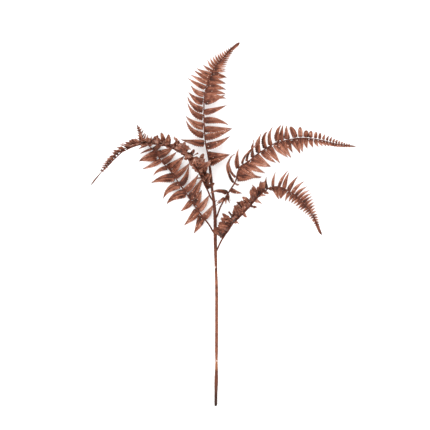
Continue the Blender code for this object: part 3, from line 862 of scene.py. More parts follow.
def smooth_route(knots: Knots) -> tuple[np.ndarray, np.ndarray]:
    """Draws the Catmull-Rom curve through knots.

    Args:
        knots: Rows of numbers that start with x, y and z.

    Returns:
        Close points on the curve, and how far along it each one is.
    """
    rows = np.array(knots, float)
    padded = np.vstack([2 * rows[0] - rows[1], rows, 2 * rows[-1] - rows[-2]])
    points = []
    for a, b, c, d in zip(padded, padded[1:], padded[2:], padded[3:]):
        for t in np.arange(ROUTE_FINENESS) / ROUTE_FINENESS:
            bend = (2 * a - 5 * b + 4 * c - d) * t**2 + (3 * b - a - 3 * c + d) * t**3
            points.append(b + 0.5 * ((c - a) * t + bend))
    points = np.array([*points, rows[-1]])
    steps = np.linalg.norm(np.diff(points[:, :3], axis=0), axis=1)
    return points, np.concatenate([[0], np.cumsum(steps)])


class Route:
    """A curve through knots, with a frame: along it, to its left, and out of a frond's face."""

    def __init__(self, knots: Knots, roll: Knots) -> None:
        """Draws the curve.

        Args:
            knots: x, y and z in mm from the stem's cut end.
            roll: Degrees that the left side is turned up, by distance.
        """
        self.points, self.distances = smooth_route(knots)
        self.length = float(self.distances[-1])
        self.roll = roll

    def point(self, at: float) -> Vector:
        """The place at a distance from the start, in mm."""
        return Vector([float(np.interp(at, self.distances, self.points[:, axis])) for axis in range(3)])

    def frame(self, at: float) -> tuple[Vector, Vector, Vector]:
        """The directions at a distance: along the route, out of its left side, and out of its face."""
        before, after = max(at - ROUTE_REACH, 0), min(at + ROUTE_REACH, self.length)
        along = (self.point(after) - self.point(before)).normalized()
        left = Vector((0, 0, 1)).cross(along).normalized()
        left = Matrix.Rotation(math.radians(knot_value(self.roll, at)), 3, along) @ left
        return along, left, along.cross(left)


def turned(first: Vector, second: Vector, degrees: float) -> tuple[Vector, Vector]:
    """Turns two square directions in their own plane, the first one towards the second."""
    cos, sin = math.cos(math.radians(degrees)), math.sin(math.radians(degrees))
    return first * cos + second * sin, second * cos - first * sin


@dataclass(frozen=True)
class Frond:
    """One frond: its midrib's route, how it is rolled about that route, and its two rows of leaflets."""

    name: str
    route: Knots  # x, y, z
    roll: Knots  # (mm along the route, degrees that the left row is turned up)
    pitch: Knots  # (mm along the route, mm from one leaflet of a run to the next)
    left: Row
    right: Row
    web_tip_half_width: float  # mm, of the strip in the fused tip

    def feet(self) -> list[tuple[float, int, Leaflet]]:
        """Places the leaflets.

        Returns:
            The distance of each foot, its side (1 is left, -1 is right), and the leaflet.
        """
        feet = [(leaflet.at, 1, leaflet) for leaflet in self.left.leaflets(self.pitch)]
        places = [at for at, _, _ in feet]
        for leaflet in self.right.leaflets(self.pitch):
            nearest = min(places, key=lambda at: abs(at - leaflet.at))
            at = nearest if abs(nearest - leaflet.at) < CLOSEST_FEET else leaflet.at
            feet.append((at, -1, leaflet))
        return sorted(feet, key=lambda entry: entry[0])

    def bent_line(self, route: Route, at: float, side: int, leaflet: Leaflet, twist: float) -> BentLine:
        """Bends one leaflet's centre line.

        Args:
            route: The midrib's route.
            at: The distance of the leaflet's foot.
            side: 1 on the left, -1 on the right.
            leaflet: Its direction and bend.
            twist: Degrees that it turns about its own length from foot to tip.

        Returns:
            The line, in metres from the stem's cut end.
        """
        along, left, top = route.frame(at)
        radius = midrib_radius(at, route.length)
        place = route.point(at) + left * (side * radius * LEAFLET_INSET) - top * (radius * LEAFLET_DEPTH)
        edge, way = turned(along, left * side, leaflet.heading)
        way, edge = edge, -way
        way, top = turned(way, top, leaflet.lift)
        edge, top = turned(edge, top, leaflet.spin)
        places, edges, tops = [place], [edge], [top]
        for _ in range(LINE_STEPS):
            place = place + way * (leaflet.length / LINE_STEPS)
            way, edge = turned(way, edge, leaflet.bow / LINE_STEPS)
            way, top = turned(way, top, leaflet.curl / LINE_STEPS)
            edge, top = turned(edge, top, twist / LINE_STEPS)
            places.append(place)
            edges.append(edge)
            tops.append(top)
        return BentLine(np.array(places) * MM, np.array(edges), np.array(tops), side > 0)

    def tip_line(self, route: Route) -> BentLine:
        """The line of the fused tip, which lies along the end of the midrib."""
        stations = np.linspace(route.length - FUSED_TIP, route.length, LINE_STEPS + 1)
        frames = [route.frame(at) for at in stations]
        return BentLine(
            np.array([route.point(at) for at in stations]) * MM,
            np.array([left for _, left, _ in frames]),
            np.array([top for _, _, top in frames]),
            False,
        )

    def build_leaflets(
        self, moulds: dict[LeafletMould, bpy.types.Object], cut_end: Vector
    ) -> bpy.types.Object:
        """Presses every leaflet of the frond and joins them.

        Args:
            moulds: The pattern of each mould.
            cut_end: Where the stem's cut end is, in metres.

        Returns:
            The frond's leaflets as one piece, with their thickness.
        """
        draw = random.Random(self.name)
        route = Route(self.route, self.roll)
        left, right = HABITS[self.name]
        pressed = []
        for at, side, leaflet in self.feet():
            habit = left if side > 0 else right
            mould = habit.mould(leaflet)
            wave = 1 + WAVIER_CRUMPLED * knot_value(habit.crumple, leaflet.at)
            for offset in habit.lobes(at):
                lobe = habit.crumpled(leaflet, draw)
                line = self.bent_line(route, at + offset, side, lobe, draw.gauss(0, TWIST_SPREAD))
                # The tint is a random tone around the row's darkening, which is painted shade in the crushed
                # rows.
                ruffle = Ruffle(
                    wave * draw.uniform(*RUFFLE_DEPTH),
                    draw.uniform(*RUFFLE_WAVES),
                    draw.uniform(0, 2 * math.pi),
                    draw.gauss(-knot_value(habit.shade, leaflet.at), TINT_SPREAD * wave),
                )
                pressed.append(mould.press(moulds[mould], line, lobe, ruffle, habit))
        width = 2 * FUSED_BREADTH * self.web_tip_half_width
        tip = Leaflet(route.length - FUSED_TIP, FUSED_TIP, width, heading=0)
        flat = Ruffle(depth=0, waves=0, phase=0, tint=FUSED_TINT)
        pressed.append(FUSED.press(moulds[FUSED], self.tip_line(route), tip, flat, Habit()))
        select_only(*pressed)
        bpy.ops.object.join()
        blade = bpy.context.object
        blade.data.transform(Matrix.Translation(cut_end))
        apply_modifier(blade, "SOLIDIFY", thickness=LEAFLET_THICKNESS * MM, offset=-1.0)
        select_only(blade)
        bpy.ops.object.shade_smooth_by_angle(angle=BLADE_CREASE)
        return blade

    def build_midrib(self, root: Vector, cut_end: Vector) -> bpy.types.Object:
        """Models the stalk and midrib, slightly swollen where leaflets stand.

        Args:
            root: Where the stalk starts inside the stem's wrap, in mm from the cut end.
            cut_end: Where the stem's cut end is, in metres.

        Returns:
            The rod.
        """
        route = Route((tuple(root), *self.route), self.roll)
        feet = [at for at, _, _ in self.feet()]
        hidden = route.length - Route(self.route, self.roll).length
        stations = np.arange(0, route.length, MIDRIB_FINENESS)
        radii = []
        for at in stations:
            nearest = min(abs(at - hidden - foot) for foot in feet)
            swell = 1 + MIDRIB_SWELLING * math.exp(-((nearest / SWELLING_REACH) ** 2))
            radii.append(midrib_radius(max(at - hidden, 0), route.length) * swell)
        rod = model_rod(route.length, len(stations), MIDRIB_SIDES)
        bend_along(rod, [route.point(at) for at in stations], radii, cut_end)
        return rod


def model_rod(length: float, rings: int, sides: int) -> bpy.types.Object:
    """Models a straight rod along X, one millimetre in radius, with rings for bending it.

    Args:
        length: In mm.
        rings: How many parts it has along its length.
        sides: How many sides it has round.

    Returns:
        The rod, closed at its ends.
    """
    deselect_all()
    bpy.ops.mesh.primitive_cylinder_add(
        vertices=sides, radius=MM, depth=length * MM, end_fill_type="NGON", rotation=(0, math.pi / 2, 0)
    )
    bpy.ops.object.transform_apply(location=True, rotation=True, scale=True)
    rod = bpy.context.object
    with edit_mode(rod, "EDGE"):
        mesh = bmesh.from_edit_mesh(rod.data)
        for edge in mesh.edges:
            ends = [vert.co.x for vert in edge.verts]
            edge.select_set(abs(ends[0] - ends[1]) > length * MM / 2)
        bmesh.update_edit_mesh(rod.data)
        bpy.ops.mesh.subdivide(number_cuts=rings - 1)
        bpy.ops.mesh.select_all(action="SELECT")
        bpy.ops.transform.translate(value=(length * MM / 2, 0, 0))
    return rod


def bend_along(obj: bpy.types.Object, points: list[Vector], radii: list[float], cut_end: Vector) -> None:
    """Bends an object that was modelled straight along X, and scales its thickness, to a route.

    Args:
        obj: The object, one millimetre in radius.
        points: The route, in mm from the stem's cut end.
        radii: The radius at each point, in mm.
        cut_end: Where the stem's cut end is, in metres.
    """
    data = bpy.data.curves.new("guide", "CURVE")
    data.dimensions = "3D"
    data.use_radius = True
    spline = data.splines.new("POLY")
    spline.points.add(len(points) - 1)
    for knot, point, radius in zip(spline.points, points, radii):
        knot.co = (*(cut_end + point * MM), 1)
        knot.radius = radius
    guide = bpy.data.objects.new("guide", data)
    bpy.context.scene.collection.objects.link(guide)
    apply_modifier(obj, "CURVE", object=guide, deform_axis="POS_X")
    bpy.data.objects.remove(guide)
    select_only(obj)
    bpy.ops.object.shade_smooth_by_angle(angle=ROD_CREASE)


# The stem from its cut end upwards: along x, y, z, and its radius where tape and stalks thicken it.
STEM: Knots = (
    (1.7, 0, 2.9, 2.7), (1.7, 10, 3.4, 2.8), (1.9, 24, 4.0, 2.8), (2.6, 50, 5.2, 3.4),
    (3.0, 72, 6.3, 2.9), (3.1, 92, 7.2, 2.3), (3.1, 114, 8.2, 2.9), (3.3, 170, 10.9, 2.9),
    (3.3, 238, 14.2, 2.9), (2.1, 280, 16.2, 2.6), (1.4, 310, 17.6, 3.0), (0.6, 342, 19.1, 3.3),
    (0.2, 390, 21.4, 3.2), (-2.3, 421, 22.9, 2.9), (-6.0, 446, 24.0, 2.5),
)

TOP = Frond(
    name="top",
    route=(
        (-6.2, 447.4, 24.1), (-7.8, 470, 26), (-11, 495, 29), (-15, 520, 33), (-19, 539, 36),
        (-21, 559, 38), (-22.4, 586, 40), (-22.8, 611, 40), (-22, 634, 38), (-19.5, 651, 35),
        (-15, 666, 31), (-9, 682, 26), (-2, 696, 21), (6.6, 708, 16), (16.6, 718, 12), (35, 736, 5),
        (51, 750, 1.6),
    ),
    roll=((0, 0), (330, 0)),
    pitch=((0, 7), (270, 6), (300, 5)),
    left=Row(
        single=leaflets(
            (94, 54, 11, 72, -12, 0, 0, 5), (111, 56, 10, 78, -20, 70, 0, 10),
            (129, 50, 12, 74, -26, 35, 0, 10), (148, 52, 10, 76, -25, 65, 0, 10),
            (164, 50, 10, 78, -26, 60, 0, 10), (181, 44, 11, 76, -26, 40, 0, 10),
            (196, 40, 10, 76, -25, 35, 0, 10), (210, 47, 9, 72, -10, 0, 0, 10),
            (223, 42, 9, 80, -10, 0, 0, 10), (232, 38, 9, 78, -10, 0, 0, 10),
            (241, 33, 9, 86, -5, 0, 0, 10), (250, 25, 6, 86, 0, 10),
        ),
        run=leaflets(
            (257, 24, 5, 78, 0, 25), (268, 19, 4.5, 72, 0, 15), (290, 12, 3.5, 76), (313, 6, 2.5, 60),
        ),
    ),
    right=Row(
        single=leaflets(
            (62, 45, 25, 86, 6), (88, 54, 12, 84, 5, 15), (107, 59, 12, 78, 0, 5),
            (124, 57, 12, 88, 0, -5), (142, 54, 12, 76, 0, -55), (159, 50, 11, 72), (179, 46, 12, 68),
            (193, 46, 12, 76, 0, -28), (206, 43, 12, 76, 0, -26), (219, 41, 12, 76, 0, -22),
            (231, 36, 12, 76, 0, -20), (244, 34, 12, 70, 0, -18),
        ),
        run=leaflets((253, 27, 6, 65), (268, 22, 5, 54), (281, 17, 4, 48), (313, 6, 2.5, 45)),
    ),
    web_tip_half_width=2.8,
)

FAR_LEFT = Frond(
    name="far_left",
    route=(
        (-9.5, 431, 24), (-14, 442, 27), (-20, 454, 32), (-32, 479, 42), (-47, 501, 50), (-66, 519, 55),
        (-80, 527, 57), (-94, 534, 58), (-114, 538, 58), (-133, 540, 56), (-151, 539, 52),
        (-166, 535, 47), (-180, 529, 41), (-193, 522, 35), (-205, 511, 28), (-218, 499, 21),
        (-232, 485, 13), (-244, 471, 7), (-256, 456, 1.6),
    ),
    roll=((0, -30), (60, -40), (110, -60), (160, -68), (240, -68), (290, -40), (350, 0)),
    pitch=((0, 13), (200, 12), (230, 9), (300, 6), (350, 5)),
    left=Row(
        single=(),
        run=leaflets(
            (28, 20, 9, 95, -70, 0, 0, 20), (54, 26, 11, 80, -60, 0, 20, 30),
            (80, 30, 12, 95, -50, 0, 30, -30), (106, 28, 12, 75, -45, 0, 30, 30),
            (132, 26, 12, 95, -40, 0, 20, -30), (158, 26, 12, 75, -40, 0, 30, 30),
            (184, 24, 11, 90, -40, 0, 20, -20), (208, 22, 9, 65, -40, 0, 20, 20),
            (232, 20, 8, 38, -45, 0, 20), (262, 17, 7, 32, -45), (288, 8, 4, 50, -20),
            (310, 4, 2.5, 50),
        ),
    ),
    right=Row(
        single=(),
        run=leaflets(
            (23, 18, 9, 75, 0, 20, 0, 30), (37, 22, 10, 60, 10, 30, 0, -20),
            (50, 30, 11, 65, 0, 40, -20, 40), (63, 33, 12, 90, 10, 0, -30, -30),
            (76, 34, 12, 80, 0, 20, -30, 30), (89, 32, 12, 105, 10, -20, -40, -30),
            (102, 30, 12, 75, 0, 20, -20, 40), (128, 26, 12, 100, 5, 0, -40, -40),
            (154, 23, 12, 75, 0, 20, -20, 30), (180, 21, 11, 95, 5, 0, -30, -30),
            (204, 20, 10, 62, 0, 0, -20, 20), (228, 20, 8, 38, -25, 0, -10), (258, 17, 7, 32, -30),
            (282, 14, 4, 46, -15), (310, 4, 2.5, 50),
        ),
    ),
    web_tip_half_width=1.2,
)

NEAR_LEFT = Frond(
    name="near_left",
    route=(
        (-6, 363, 19), (-11, 372, 17), (-17, 380, 15), (-23, 387, 13), (-33, 400, 11), (-44, 415, 10),
        (-61, 441, 10), (-71, 455, 10), (-93, 486, 10), (-108, 502, 10), (-126, 526, 10),
        (-145, 546, 9), (-150, 553, 9), (-154, 564, 8), (-161, 580, 7),
    ),
    roll=((0, 0), (300, 0)),
    pitch=((0, 9), (240, 6), (260, 5)),
    left=Row(
        single=leaflets(
            (36, 41, 12, 117, 0, 0, -15), (51, 43, 12, 100, 0, 0, -10), (73, 31, 9, 98),
            (93, 50, 14, 52, 0, -72), (114, 50, 12, 52, 0, -88), (133, 53, 14, 46, 0, -46),
            (158, 38, 7, 42, 0, -72), (179, 45, 8, 78), (192, 41, 16, 52, 0, -42),
            (209, 29, 4, 56, 0, -30), (222, 23, 4, 62, 0, -20),
        ),
        run=leaflets((232, 14, 3.5, 62), (246, 8, 3, 60), (262, 4, 2.5, 50)),
    ),
    right=Row(
        single=leaflets(
            (31, 35, 11, 74, -8), (49, 39, 12, 75, -8), (65, 35, 12, 68, -5), (79, 54, 13, 66),
            (98, 46, 11, 80, 0, 10), (114, 43, 10, 68, 0, 25), (131, 45, 10, 82), (152, 42, 26, 84, 6),
            (173, 36, 12, 94), (190, 38, 16, 100), (205, 30, 10, 85),
        ),
        run=leaflets((217, 22, 6, 72), (240, 12, 3, 60), (262, 4, 2.5, 50)),
    ),
    web_tip_half_width=1.6,
)

UPPER_RIGHT = Frond(
    name="upper_right",
    route=(
        (5.2, 394, 22), (7.5, 401, 23), (12, 412, 25), (20, 427, 29), (33, 448, 35), (39, 457, 38),
        (44, 468, 41), (47, 483, 44), (53, 494, 46), (63, 500, 47), (73, 507, 48), (83, 516, 48),
        (106, 531, 47), (126, 542, 45), (155, 549, 42), (176, 552, 39), (197, 551, 36), (218, 548, 33),
        (234, 544, 31), (251, 540, 29), (269, 537, 27), (290, 535, 25),
    ),
    roll=((0, 0), (380, 0)),
    pitch=((0, 11), (276, 10), (290, 8), (320, 6), (360, 5)),
    left=Row(
        single=leaflets(
            (34, 14, 5, 132, 10), (48, 41, 9, 74, 25, -93, 0, 10), (77, 80, 8, 66, 0, 0, 100, -68),
            (89, 52, 8, 58, 0, 0, 74, -68), (107, 46, 11, 32, 8, 0, 20, -52),
            (119, 40, 8, 50, 0, 0, 60, -64), (130, 50, 9, 50, 0, 0, 66, -64),
            (143, 42, 9, 48, 10, 30, 0, 50), (158, 46, 12, 62, 10, 40, 0, 35),
            (175, 46, 11, 76, 10, 70, 0, 45), (188, 46, 10, 72, 10, 58, 0, 45),
            (204, 41, 10, 78, 10, 45, 0, 35), (213, 36, 9, 76, 10, 15, 0, 25),
            (225, 31, 10, 80, 8, 0, 0, 20), (243, 27, 9.5, 94, 6, -25, 0, 15),
            (254, 23, 8, 90, 5, 0, 0, 10),
        ),
        run=leaflets(
            (265, 16, 9, 90, 5, 0, 0, 10), (276, 16, 7, 92), (295, 14, 5, 92), (314, 13, 3.5, 80),
            (336, 8, 3, 64), (358, 4, 2.5, 50),
        ),
    ),
    right=Row(
        single=leaflets(
            (44, 14, 7, 120, 10, 0, 0, 30), (59, 25, 8, 72), (74, 16, 9, 60, 35, 0, 0, 30),
            (94, 50, 22, 86), (116, 42, 13, 76), (127, 44, 12, 60), (140, 43, 12, 62),
            (153, 38, 10, 72), (169, 37, 11, 76, 0, 5), (184, 41, 12, 82, 0, -10), (200, 40, 12, 70),
            (213, 40, 12, 72), (226, 28, 13, 76), (240, 34, 15, 72, 0, -10), (252, 29, 12, 84),
        ),
        run=leaflets((264, 22, 9, 78), (284, 17, 7, 60), (312, 11, 4.5, 40), (358, 4, 2.5, 35)),
    ),
    web_tip_half_width=1.6,
)

LOWER_RIGHT = Frond(
    name="lower_right",
    route=(
        (6, 326, 20), (12, 339, 24), (20, 352, 29), (28, 363, 34), (36, 376, 39), (48, 387, 43),
        (58, 397, 45), (67, 407, 46), (87, 429, 46), (97, 439, 45), (109, 448, 43), (118, 451, 41),
        (128, 452, 39), (141, 449, 36), (153, 442, 33), (166, 434, 29), (175, 426, 25), (185, 415, 20),
        (194, 404, 15), (202, 392, 10), (209, 377, 6), (214, 365, 3), (220, 353, 1.6),
    ),
    roll=((0, 50), (120, 55), (165, 40), (185, 0), (340, 0)),
    pitch=((0, 13), (170, 13), (220, 9), (260, 6), (300, 5)),
    left=Row(
        single=(),
        run=leaflets(
            (33, 26, 13, 80, 0, 0, -50, 10), (46, 28, 13, 86, 5, 0, -60, -10),
            (59, 27, 13, 92, 5, 0, -65, 10), (82, 25, 13, 90, 0, 0, -65, 10),
            (108, 22, 13, 80, 5, 10, -60, -10), (134, 23, 12, 74, 0, 20, -40, 10),
            (158, 28, 8, 72, 0, 20, -10, 20), (172, 32, 7, 82, 0, 10, 0, 20),
            (190, 41, 7, 78, 0, 20, 0, 20), (204, 37, 9, 98), (222, 36, 6.5, 84, 0, 25, 0, 10),
            (244, 27, 5.5, 86, 0, 20), (262, 20, 4.5, 90, 0, 5), (280, 12, 3.5, 85), (314, 4, 2.5, 60),
        ),
    ),
    right=Row(
        single=(),
        run=leaflets(
            (26, 18, 11, 85, -55), (65, 22, 12, 80, -45, 0, 0, 20), (91, 24, 10, 75, -22),
            (130, 22, 9, 82, -18, 0, 0, 10), (154, 22, 8, 72, -15), (169, 25, 8, 58, -10),
            (182, 27, 16, 76), (200, 23, 9, 85), (229, 19, 7, 92), (259, 15, 5.5, 96),
            (280, 10, 3.5, 90), (312, 4, 2.5, 60),
        ),
    ),
    web_tip_half_width=2.4,
)

FRONDS = (TOP, FAR_LEFT, NEAR_LEFT, UPPER_RIGHT, LOWER_RIGHT)


# ---------------------------------------------------------------- stem


@dataclass(frozen=True)
class Stem:
    """The stem: a rod, the tape wound up it in overlapping turns, and the wire that its cut end shows."""

    knots: Knots  # x, y, z and radius
    core_share: float = 0.93  # of the stem's radius
    core_rings: int = 120
    core_sides: int = 16
    tape_share: float = 0.96  # likewise, at the tape's middle
    tape_pitch: float = 6.5  # mm from one turn to the next
    tape_overlap: float = 1.3  # the tape's width over its pitch
    tape_thickness: float = 0.11  # of the stem's radius
    tape_margin: float = 4.0  # mm of the stem's top that the tape leaves free
    tape_bends: int = 200  # points of the line that the wound tape is bent along
    tape_sides: int = 14  # of one turn
    wire_radius: float = 1.0  # mm
    wire_length: float = 8.0  # mm of it that are modelled
    wire_rings: int = 4
    wire_sides: int = 12
    wire_cut: float = 0.8  # the cut face's radius over the wire's
    wire_proud: float = 0.4  # mm that the wire stands out of the cut end
    top_taper: Knots = (  # onto the top frond's stalk
        (-7.4, 462, 25.3, 2.8),
        (-9.2, 480, 27.2, 2.7),
        (-11.6, 499, 29.6, 2.2),
        (-12.8, 507, 30.8, 1.5),
    )
    nub: Knots = ((-2, 420.5, 23), (0.6, 422, 23.4), (3.6, 424, 23.4))  # the stub of a stalk that was cut off
    nub_radius: float = 1.1  # mm
    nub_rings: int = 8
    nub_sides: int = 10
    nub_flare: float = 1.25  # its foot's radius over its own
    nub_taper: float = 0.45  # how much of its radius it loses towards its end

    def route(self) -> tuple[Route, Callable[[float], float]]:
        """The stem's route, and a function from a distance along it to its radius in mm."""
        knots = (*self.knots, *self.top_taper)
        route = Route(tuple(knot[:3] for knot in knots), ((0, 0),))
        points, distances = smooth_route(knots)
        return route, lambda at: float(np.interp(at, distances, points[:, 3]))

    def point_beside(self, y: float) -> Vector:
        """The stem's centre at a distance up from the cut end."""
        points, _ = smooth_route(self.knots)
        return Vector([float(np.interp(y, points[:, 1], points[:, axis])) for axis in range(3)])

    def build_core(self, cut_end: Vector) -> bpy.types.Object:
        """Models the rod under the tape."""
        route, radius = self.route()
        stations = np.linspace(0, route.length, self.core_rings)
        core = model_rod(route.length, self.core_rings, self.core_sides)
        radii = [self.core_share * radius(at) for at in stations]
        bend_along(core, [route.point(at) for at in stations], radii, cut_end)
        return core

    def build_tape(self, cut_end: Vector) -> bpy.types.Object:
        """Winds the tape: its cross-section, turned along the stem with the Screw modifier, then bent."""
        route, radius = self.route()
        turns = math.floor((route.length - self.tape_margin) / self.tape_pitch)
        deselect_all()
        bpy.ops.mesh.primitive_plane_add(size=1)
        tape = bpy.context.object
        width = self.tape_pitch * self.tape_overlap * MM
        thickness = self.tape_thickness * MM
        with edit_mode(tape):
            bpy.ops.mesh.select_all(action="SELECT")
            bpy.ops.transform.resize(value=(width, thickness, 1), center_override=(0, 0, 0))
            bpy.ops.transform.translate(value=(width / 2, self.tape_share * MM, 0))
            # The lower edge of each turn lies over the turn below it.
            pick(tape, lambda vert: vert.co.x < width / 2)
            bpy.ops.transform.translate(value=(0, thickness, 0))
            bpy.ops.mesh.select_all(action="SELECT")
            bpy.ops.mesh.delete(type="ONLY_FACE")
        apply_modifier(
            tape,
            "SCREW",
            axis="X",
            angle=2 * math.pi,
            screw_offset=self.tape_pitch * MM,
            iterations=turns,
            steps=self.tape_sides,
            render_steps=self.tape_sides,
            use_normal_calculate=True,
            merge_threshold=0.00001,
        )
        with edit_mode(tape):
            bpy.ops.mesh.select_non_manifold()
            bpy.ops.mesh.fill_holes(sides=4)
            bpy.ops.mesh.select_all(action="SELECT")
            bpy.ops.mesh.normals_make_consistent(inside=False)
        stations = np.linspace(0, route.length, self.tape_bends)
        bend_along(tape, [route.point(at) for at in stations], [radius(at) for at in stations], cut_end)
        return tape

    def build_wire(self, cut_end: Vector) -> bpy.types.Object:
        """Models the end of the wire that runs up the middle of the stem, with a small chamfer on its cut."""
        route, _ = self.route()
        wire = model_rod(self.wire_length, self.wire_rings, self.wire_sides)
        with edit_mode(wire):
            pick(wire, lambda vert: vert.co.x < MM * 0.1)
            bpy.ops.transform.resize(value=(1, self.wire_cut, self.wire_cut), center_override=(0, 0, 0))
        start = route.point(0)
        along = (route.point(ROUTE_REACH) - start).normalized()
        stations = np.linspace(0, self.wire_length, self.wire_rings + 1)
        points = [start + along * (at - self.wire_proud) for at in stations]
        bend_along(wire, points, [self.wire_radius] * len(points), cut_end)
        return wire

    def build_nub(self, cut_end: Vector) -> bpy.types.Object:
        """Models the stub of a stalk that was cut off close to the stem."""
        route = Route(self.nub, ((0, 0),))
        stations = np.linspace(0, route.length, self.nub_rings)
        nub = model_rod(route.length, self.nub_rings, self.nub_sides)
        radii = [self.nub_radius * (self.nub_flare - self.nub_taper * at / route.length) for at in stations]
        bend_along(nub, [route.point(at) for at in stations], radii, cut_end)
        return nub


# ---------------------------------------------------------------- studio


@dataclass(frozen=True)
class Studio:
    """A pale floor under soft light, and a camera that looks straight down."""

    floor_size: float = 9.0  # m
    view_width: float = 0.886  # m that the picture shows at the spray's height
    view_centre: tuple[float, float] = (-0.017, 0.0187)
    view_height: float = 0.02  # m above the floor where that width is measured
    camera_height: float = 10.0  # m: a long lens, so that raised fronds keep their place
    sensor_width: float = 36.0  # mm
    surround: float = 1.6  # how bright the surround is
    # Each lamp's name, place and size in metres, and its power in watts.
    lamps: tuple[tuple[str, tuple[float, float, float], float, float], ...] = (
        ("key", (-1.0, 1.0, 3.2), 3.0, 48.0),
        ("fill", (1.8, -0.8, 3.0), 3.0, 14.0),
    )

    def build_floor(self) -> None:
        """Lays the floor."""
        deselect_all()
        bpy.ops.mesh.primitive_plane_add(size=self.floor_size)
        floor = bpy.context.object
        floor.name = "floor"
        floor.data.materials.append(FLOOR_PAPER.build())
        floor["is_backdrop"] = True

    def build_light(self) -> None:
        """Hangs a large soft key light at the upper left, a fill at the right, and lights the surround."""
        for name, place, size, power in self.lamps:
            bpy.ops.object.light_add(type="AREA", location=place)
            lamp = bpy.context.object
            lamp.name = name
            lamp.data.size = size
            lamp.data.energy = power
            lamp.rotation_euler = (-Vector(place)).to_track_quat("-Z", "Y").to_euler()
        world = bpy.data.worlds.new("pale_surround")
        bpy.context.scene.world = world
        world.use_nodes = True
        background = world.node_tree.nodes["Background"]
        background.inputs["Color"].default_value = (1, 1, 1, 1)
        background.inputs["Strength"].default_value = self.surround

    def build_camera(self) -> None:
        """Sets the camera above the spray, with the top frond's end up."""
        bpy.ops.object.camera_add(location=(*self.view_centre, self.camera_height), rotation=(0, 0, 0))
        camera = bpy.context.object
        camera.data.sensor_width = self.sensor_width
        distance = self.camera_height - self.view_height
        camera.data.lens = self.sensor_width * distance / self.view_width
        camera.data.clip_end = 50
        bpy.context.scene.camera = camera
        bpy.context.scene.view_settings.view_transform = "Standard"


# ---------------------------------------------------------------- the spray


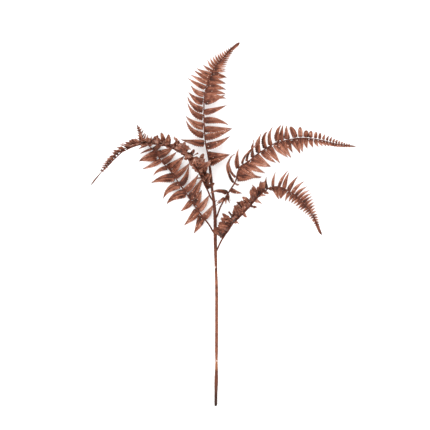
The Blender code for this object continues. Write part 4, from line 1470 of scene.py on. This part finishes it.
HABITS: dict[str, tuple[Habit, Habit]] = {  # of each frond's left and right row
    "top": (
        Habit(
            gap=((180, 3.0), (230, 0.3)),
            breadth=((180, 1.24), (205, 0.95), (250, 1.05), (280, 1.25)),
            hollow=1.5,
            shade=((0, -0.05),),
        ),
        Habit(breadth=((0, 1.12), (98, 1.12), (105, 1.05), (150, 1.03), (205, 1.08), (240, 1.2))),
    ),
    "far_left": (
        Habit(
            breadth=((225, 1.0), (250, 1.5), (290, 1.5), (330, 2.0)),
            # painted shade between the crushed, crowded leaflets
            shade=((0, 0.04),),
            crumple=((0, 0.25), (225, 0.25), (340, 0)),
            blunt=((0, 225),),
            packed=(0, 225),
        ),
        Habit(
            breadth=((225, 1.0), (250, 1.5), (290, 1.5), (330, 2.0)),
            # painted shade between the crushed, crowded leaflets
            shade=((0, 0.04),),
            crumple=((0, 1), (120, 0.9), (190, 0.8), (225, 0.3), (340, 0)),
            blunt=((0, 225),),
            packed=(0, 225),
        ),
    ),
    "near_left": (
        Habit(breadth=((0, 1.2),), hollow=1.5),
        Habit(
            breadth=((140, 1.15), (150, 0.92), (165, 1.0)),
            shade=((0, -0.03),),
            crumple=((0, 0.15), (300, 0.1)),
        ),
    ),
    "upper_right": (
        Habit(
            gap=((0, 1.6),),
            breadth=((290, 1.1), (330, 1.6)),
            hollow=1.4,
            crumple=((0, 1), (40, 0.8), (46, 0), (400, 0)),
            blunt=((70, 95), (235, 300)),
            packed=(0, 46),
        ),
        Habit(
            breadth=((280, 1.12), (330, 1.6)),
            shade=((0, -0.04),),
            crumple=((0, 1), (50, 0.8), (56, 0.1), (76, 0.3), (80, 0)),
            packed=(0, 50),
        ),
    ),
    "lower_right": (
        Habit(
            breadth=((145, 0.94), (165, 0.8), (220, 1.05), (300, 1.45)),
            # painted shade between the crushed, crowded leaflets of the clump
            shade=((150, 0.14), (170, 0.0)),
            crumple=((30, 0.35), (60, 0.6), (110, 0.8), (140, 0.6), (165, 0.15), (340, 0.05)),
            blunt=((0, 155),),
            packed=(0, 155),
        ),
        Habit(
            breadth=((160, 0.94), (175, 0.95), (300, 1.2)),
            # painted shade between the crushed leaflets
            shade=((0, 0.02),),
            crumple=((0, 0.9), (150, 0.8), (175, 0.15), (340, 0.05)),
        ),
    ),
}


def middle_of_spray() -> Vector:
    """The point on the floor under the middle of the spray, in mm from the stem's cut end."""
    ends = [frond.route[-1] for frond in FRONDS]
    x = (min(end[0] for end in ends) + max(end[0] for end in ends)) / 2
    return Vector((x, max(end[1] for end in ends) / 2, 0))


def stalk_root(stem: Stem, frond: Frond) -> Vector:
    """Where a frond's stalk starts inside the stem's wrap, in mm from the cut end."""
    foot = Vector(frond.route[0])
    return stem.point_beside(min(foot.y - STALK_HIDDEN, HIGHEST_ROOT)).lerp(foot, ROOT_OFFSET)


def write_sizes() -> None:
    """Works out the CAD model's box and the visual model's box, in metres."""
    boxes = {"cad": CAD_BOX, "visual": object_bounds()}
    boxes = {name: [list(corner) for corner in corners] for name, corners in boxes.items()}


def main() -> None:
    """Builds the spray piece by piece, then the studio round it."""
    logging.basicConfig(level=logging.INFO, format="%(name)s: %(message)s")
    cut_end = -middle_of_spray() * MM
    cut_end.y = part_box("main_stem")[0].y
    leaf, rib, tape = SprayedLeaf().build(), SprayedMidrib().build(), PaintedTape().build(cut_end)
    stem = Stem(STEM)
    finish_piece(stem.build_core(cut_end), "stem_core", tape, "main_stem")
    finish_piece(stem.build_tape(cut_end), "stem_tape", tape, "main_stem")
    finish_piece(stem.build_nub(cut_end), "stem_nub", tape, "main_stem")
    finish_piece(stem.build_wire(cut_end), "stem_wire", WIRE.build(), "main_stem")
    moulds = {mould: mould.model() for mould in (LARGE, SMALL, TINY, BLUNT, BROAD, FUSED)}
    for frond in FRONDS:
        midrib = frond.build_midrib(stalk_root(stem, frond), cut_end)
        finish_piece(midrib, f"{frond.name}_rib", rib, f"{frond.name}_midrib")
        blade = frond.build_leaflets(moulds, cut_end)
        finish_piece(blade, f"{frond.name}_leaflets", leaf, f"{frond.name}_blade")
    for pattern in moulds.values():
        bpy.data.objects.remove(pattern)
    studio = Studio()
    studio.build_floor()
    studio.build_light()
    studio.build_camera()
    write_sizes()


if __name__ == "__main__":
    main()
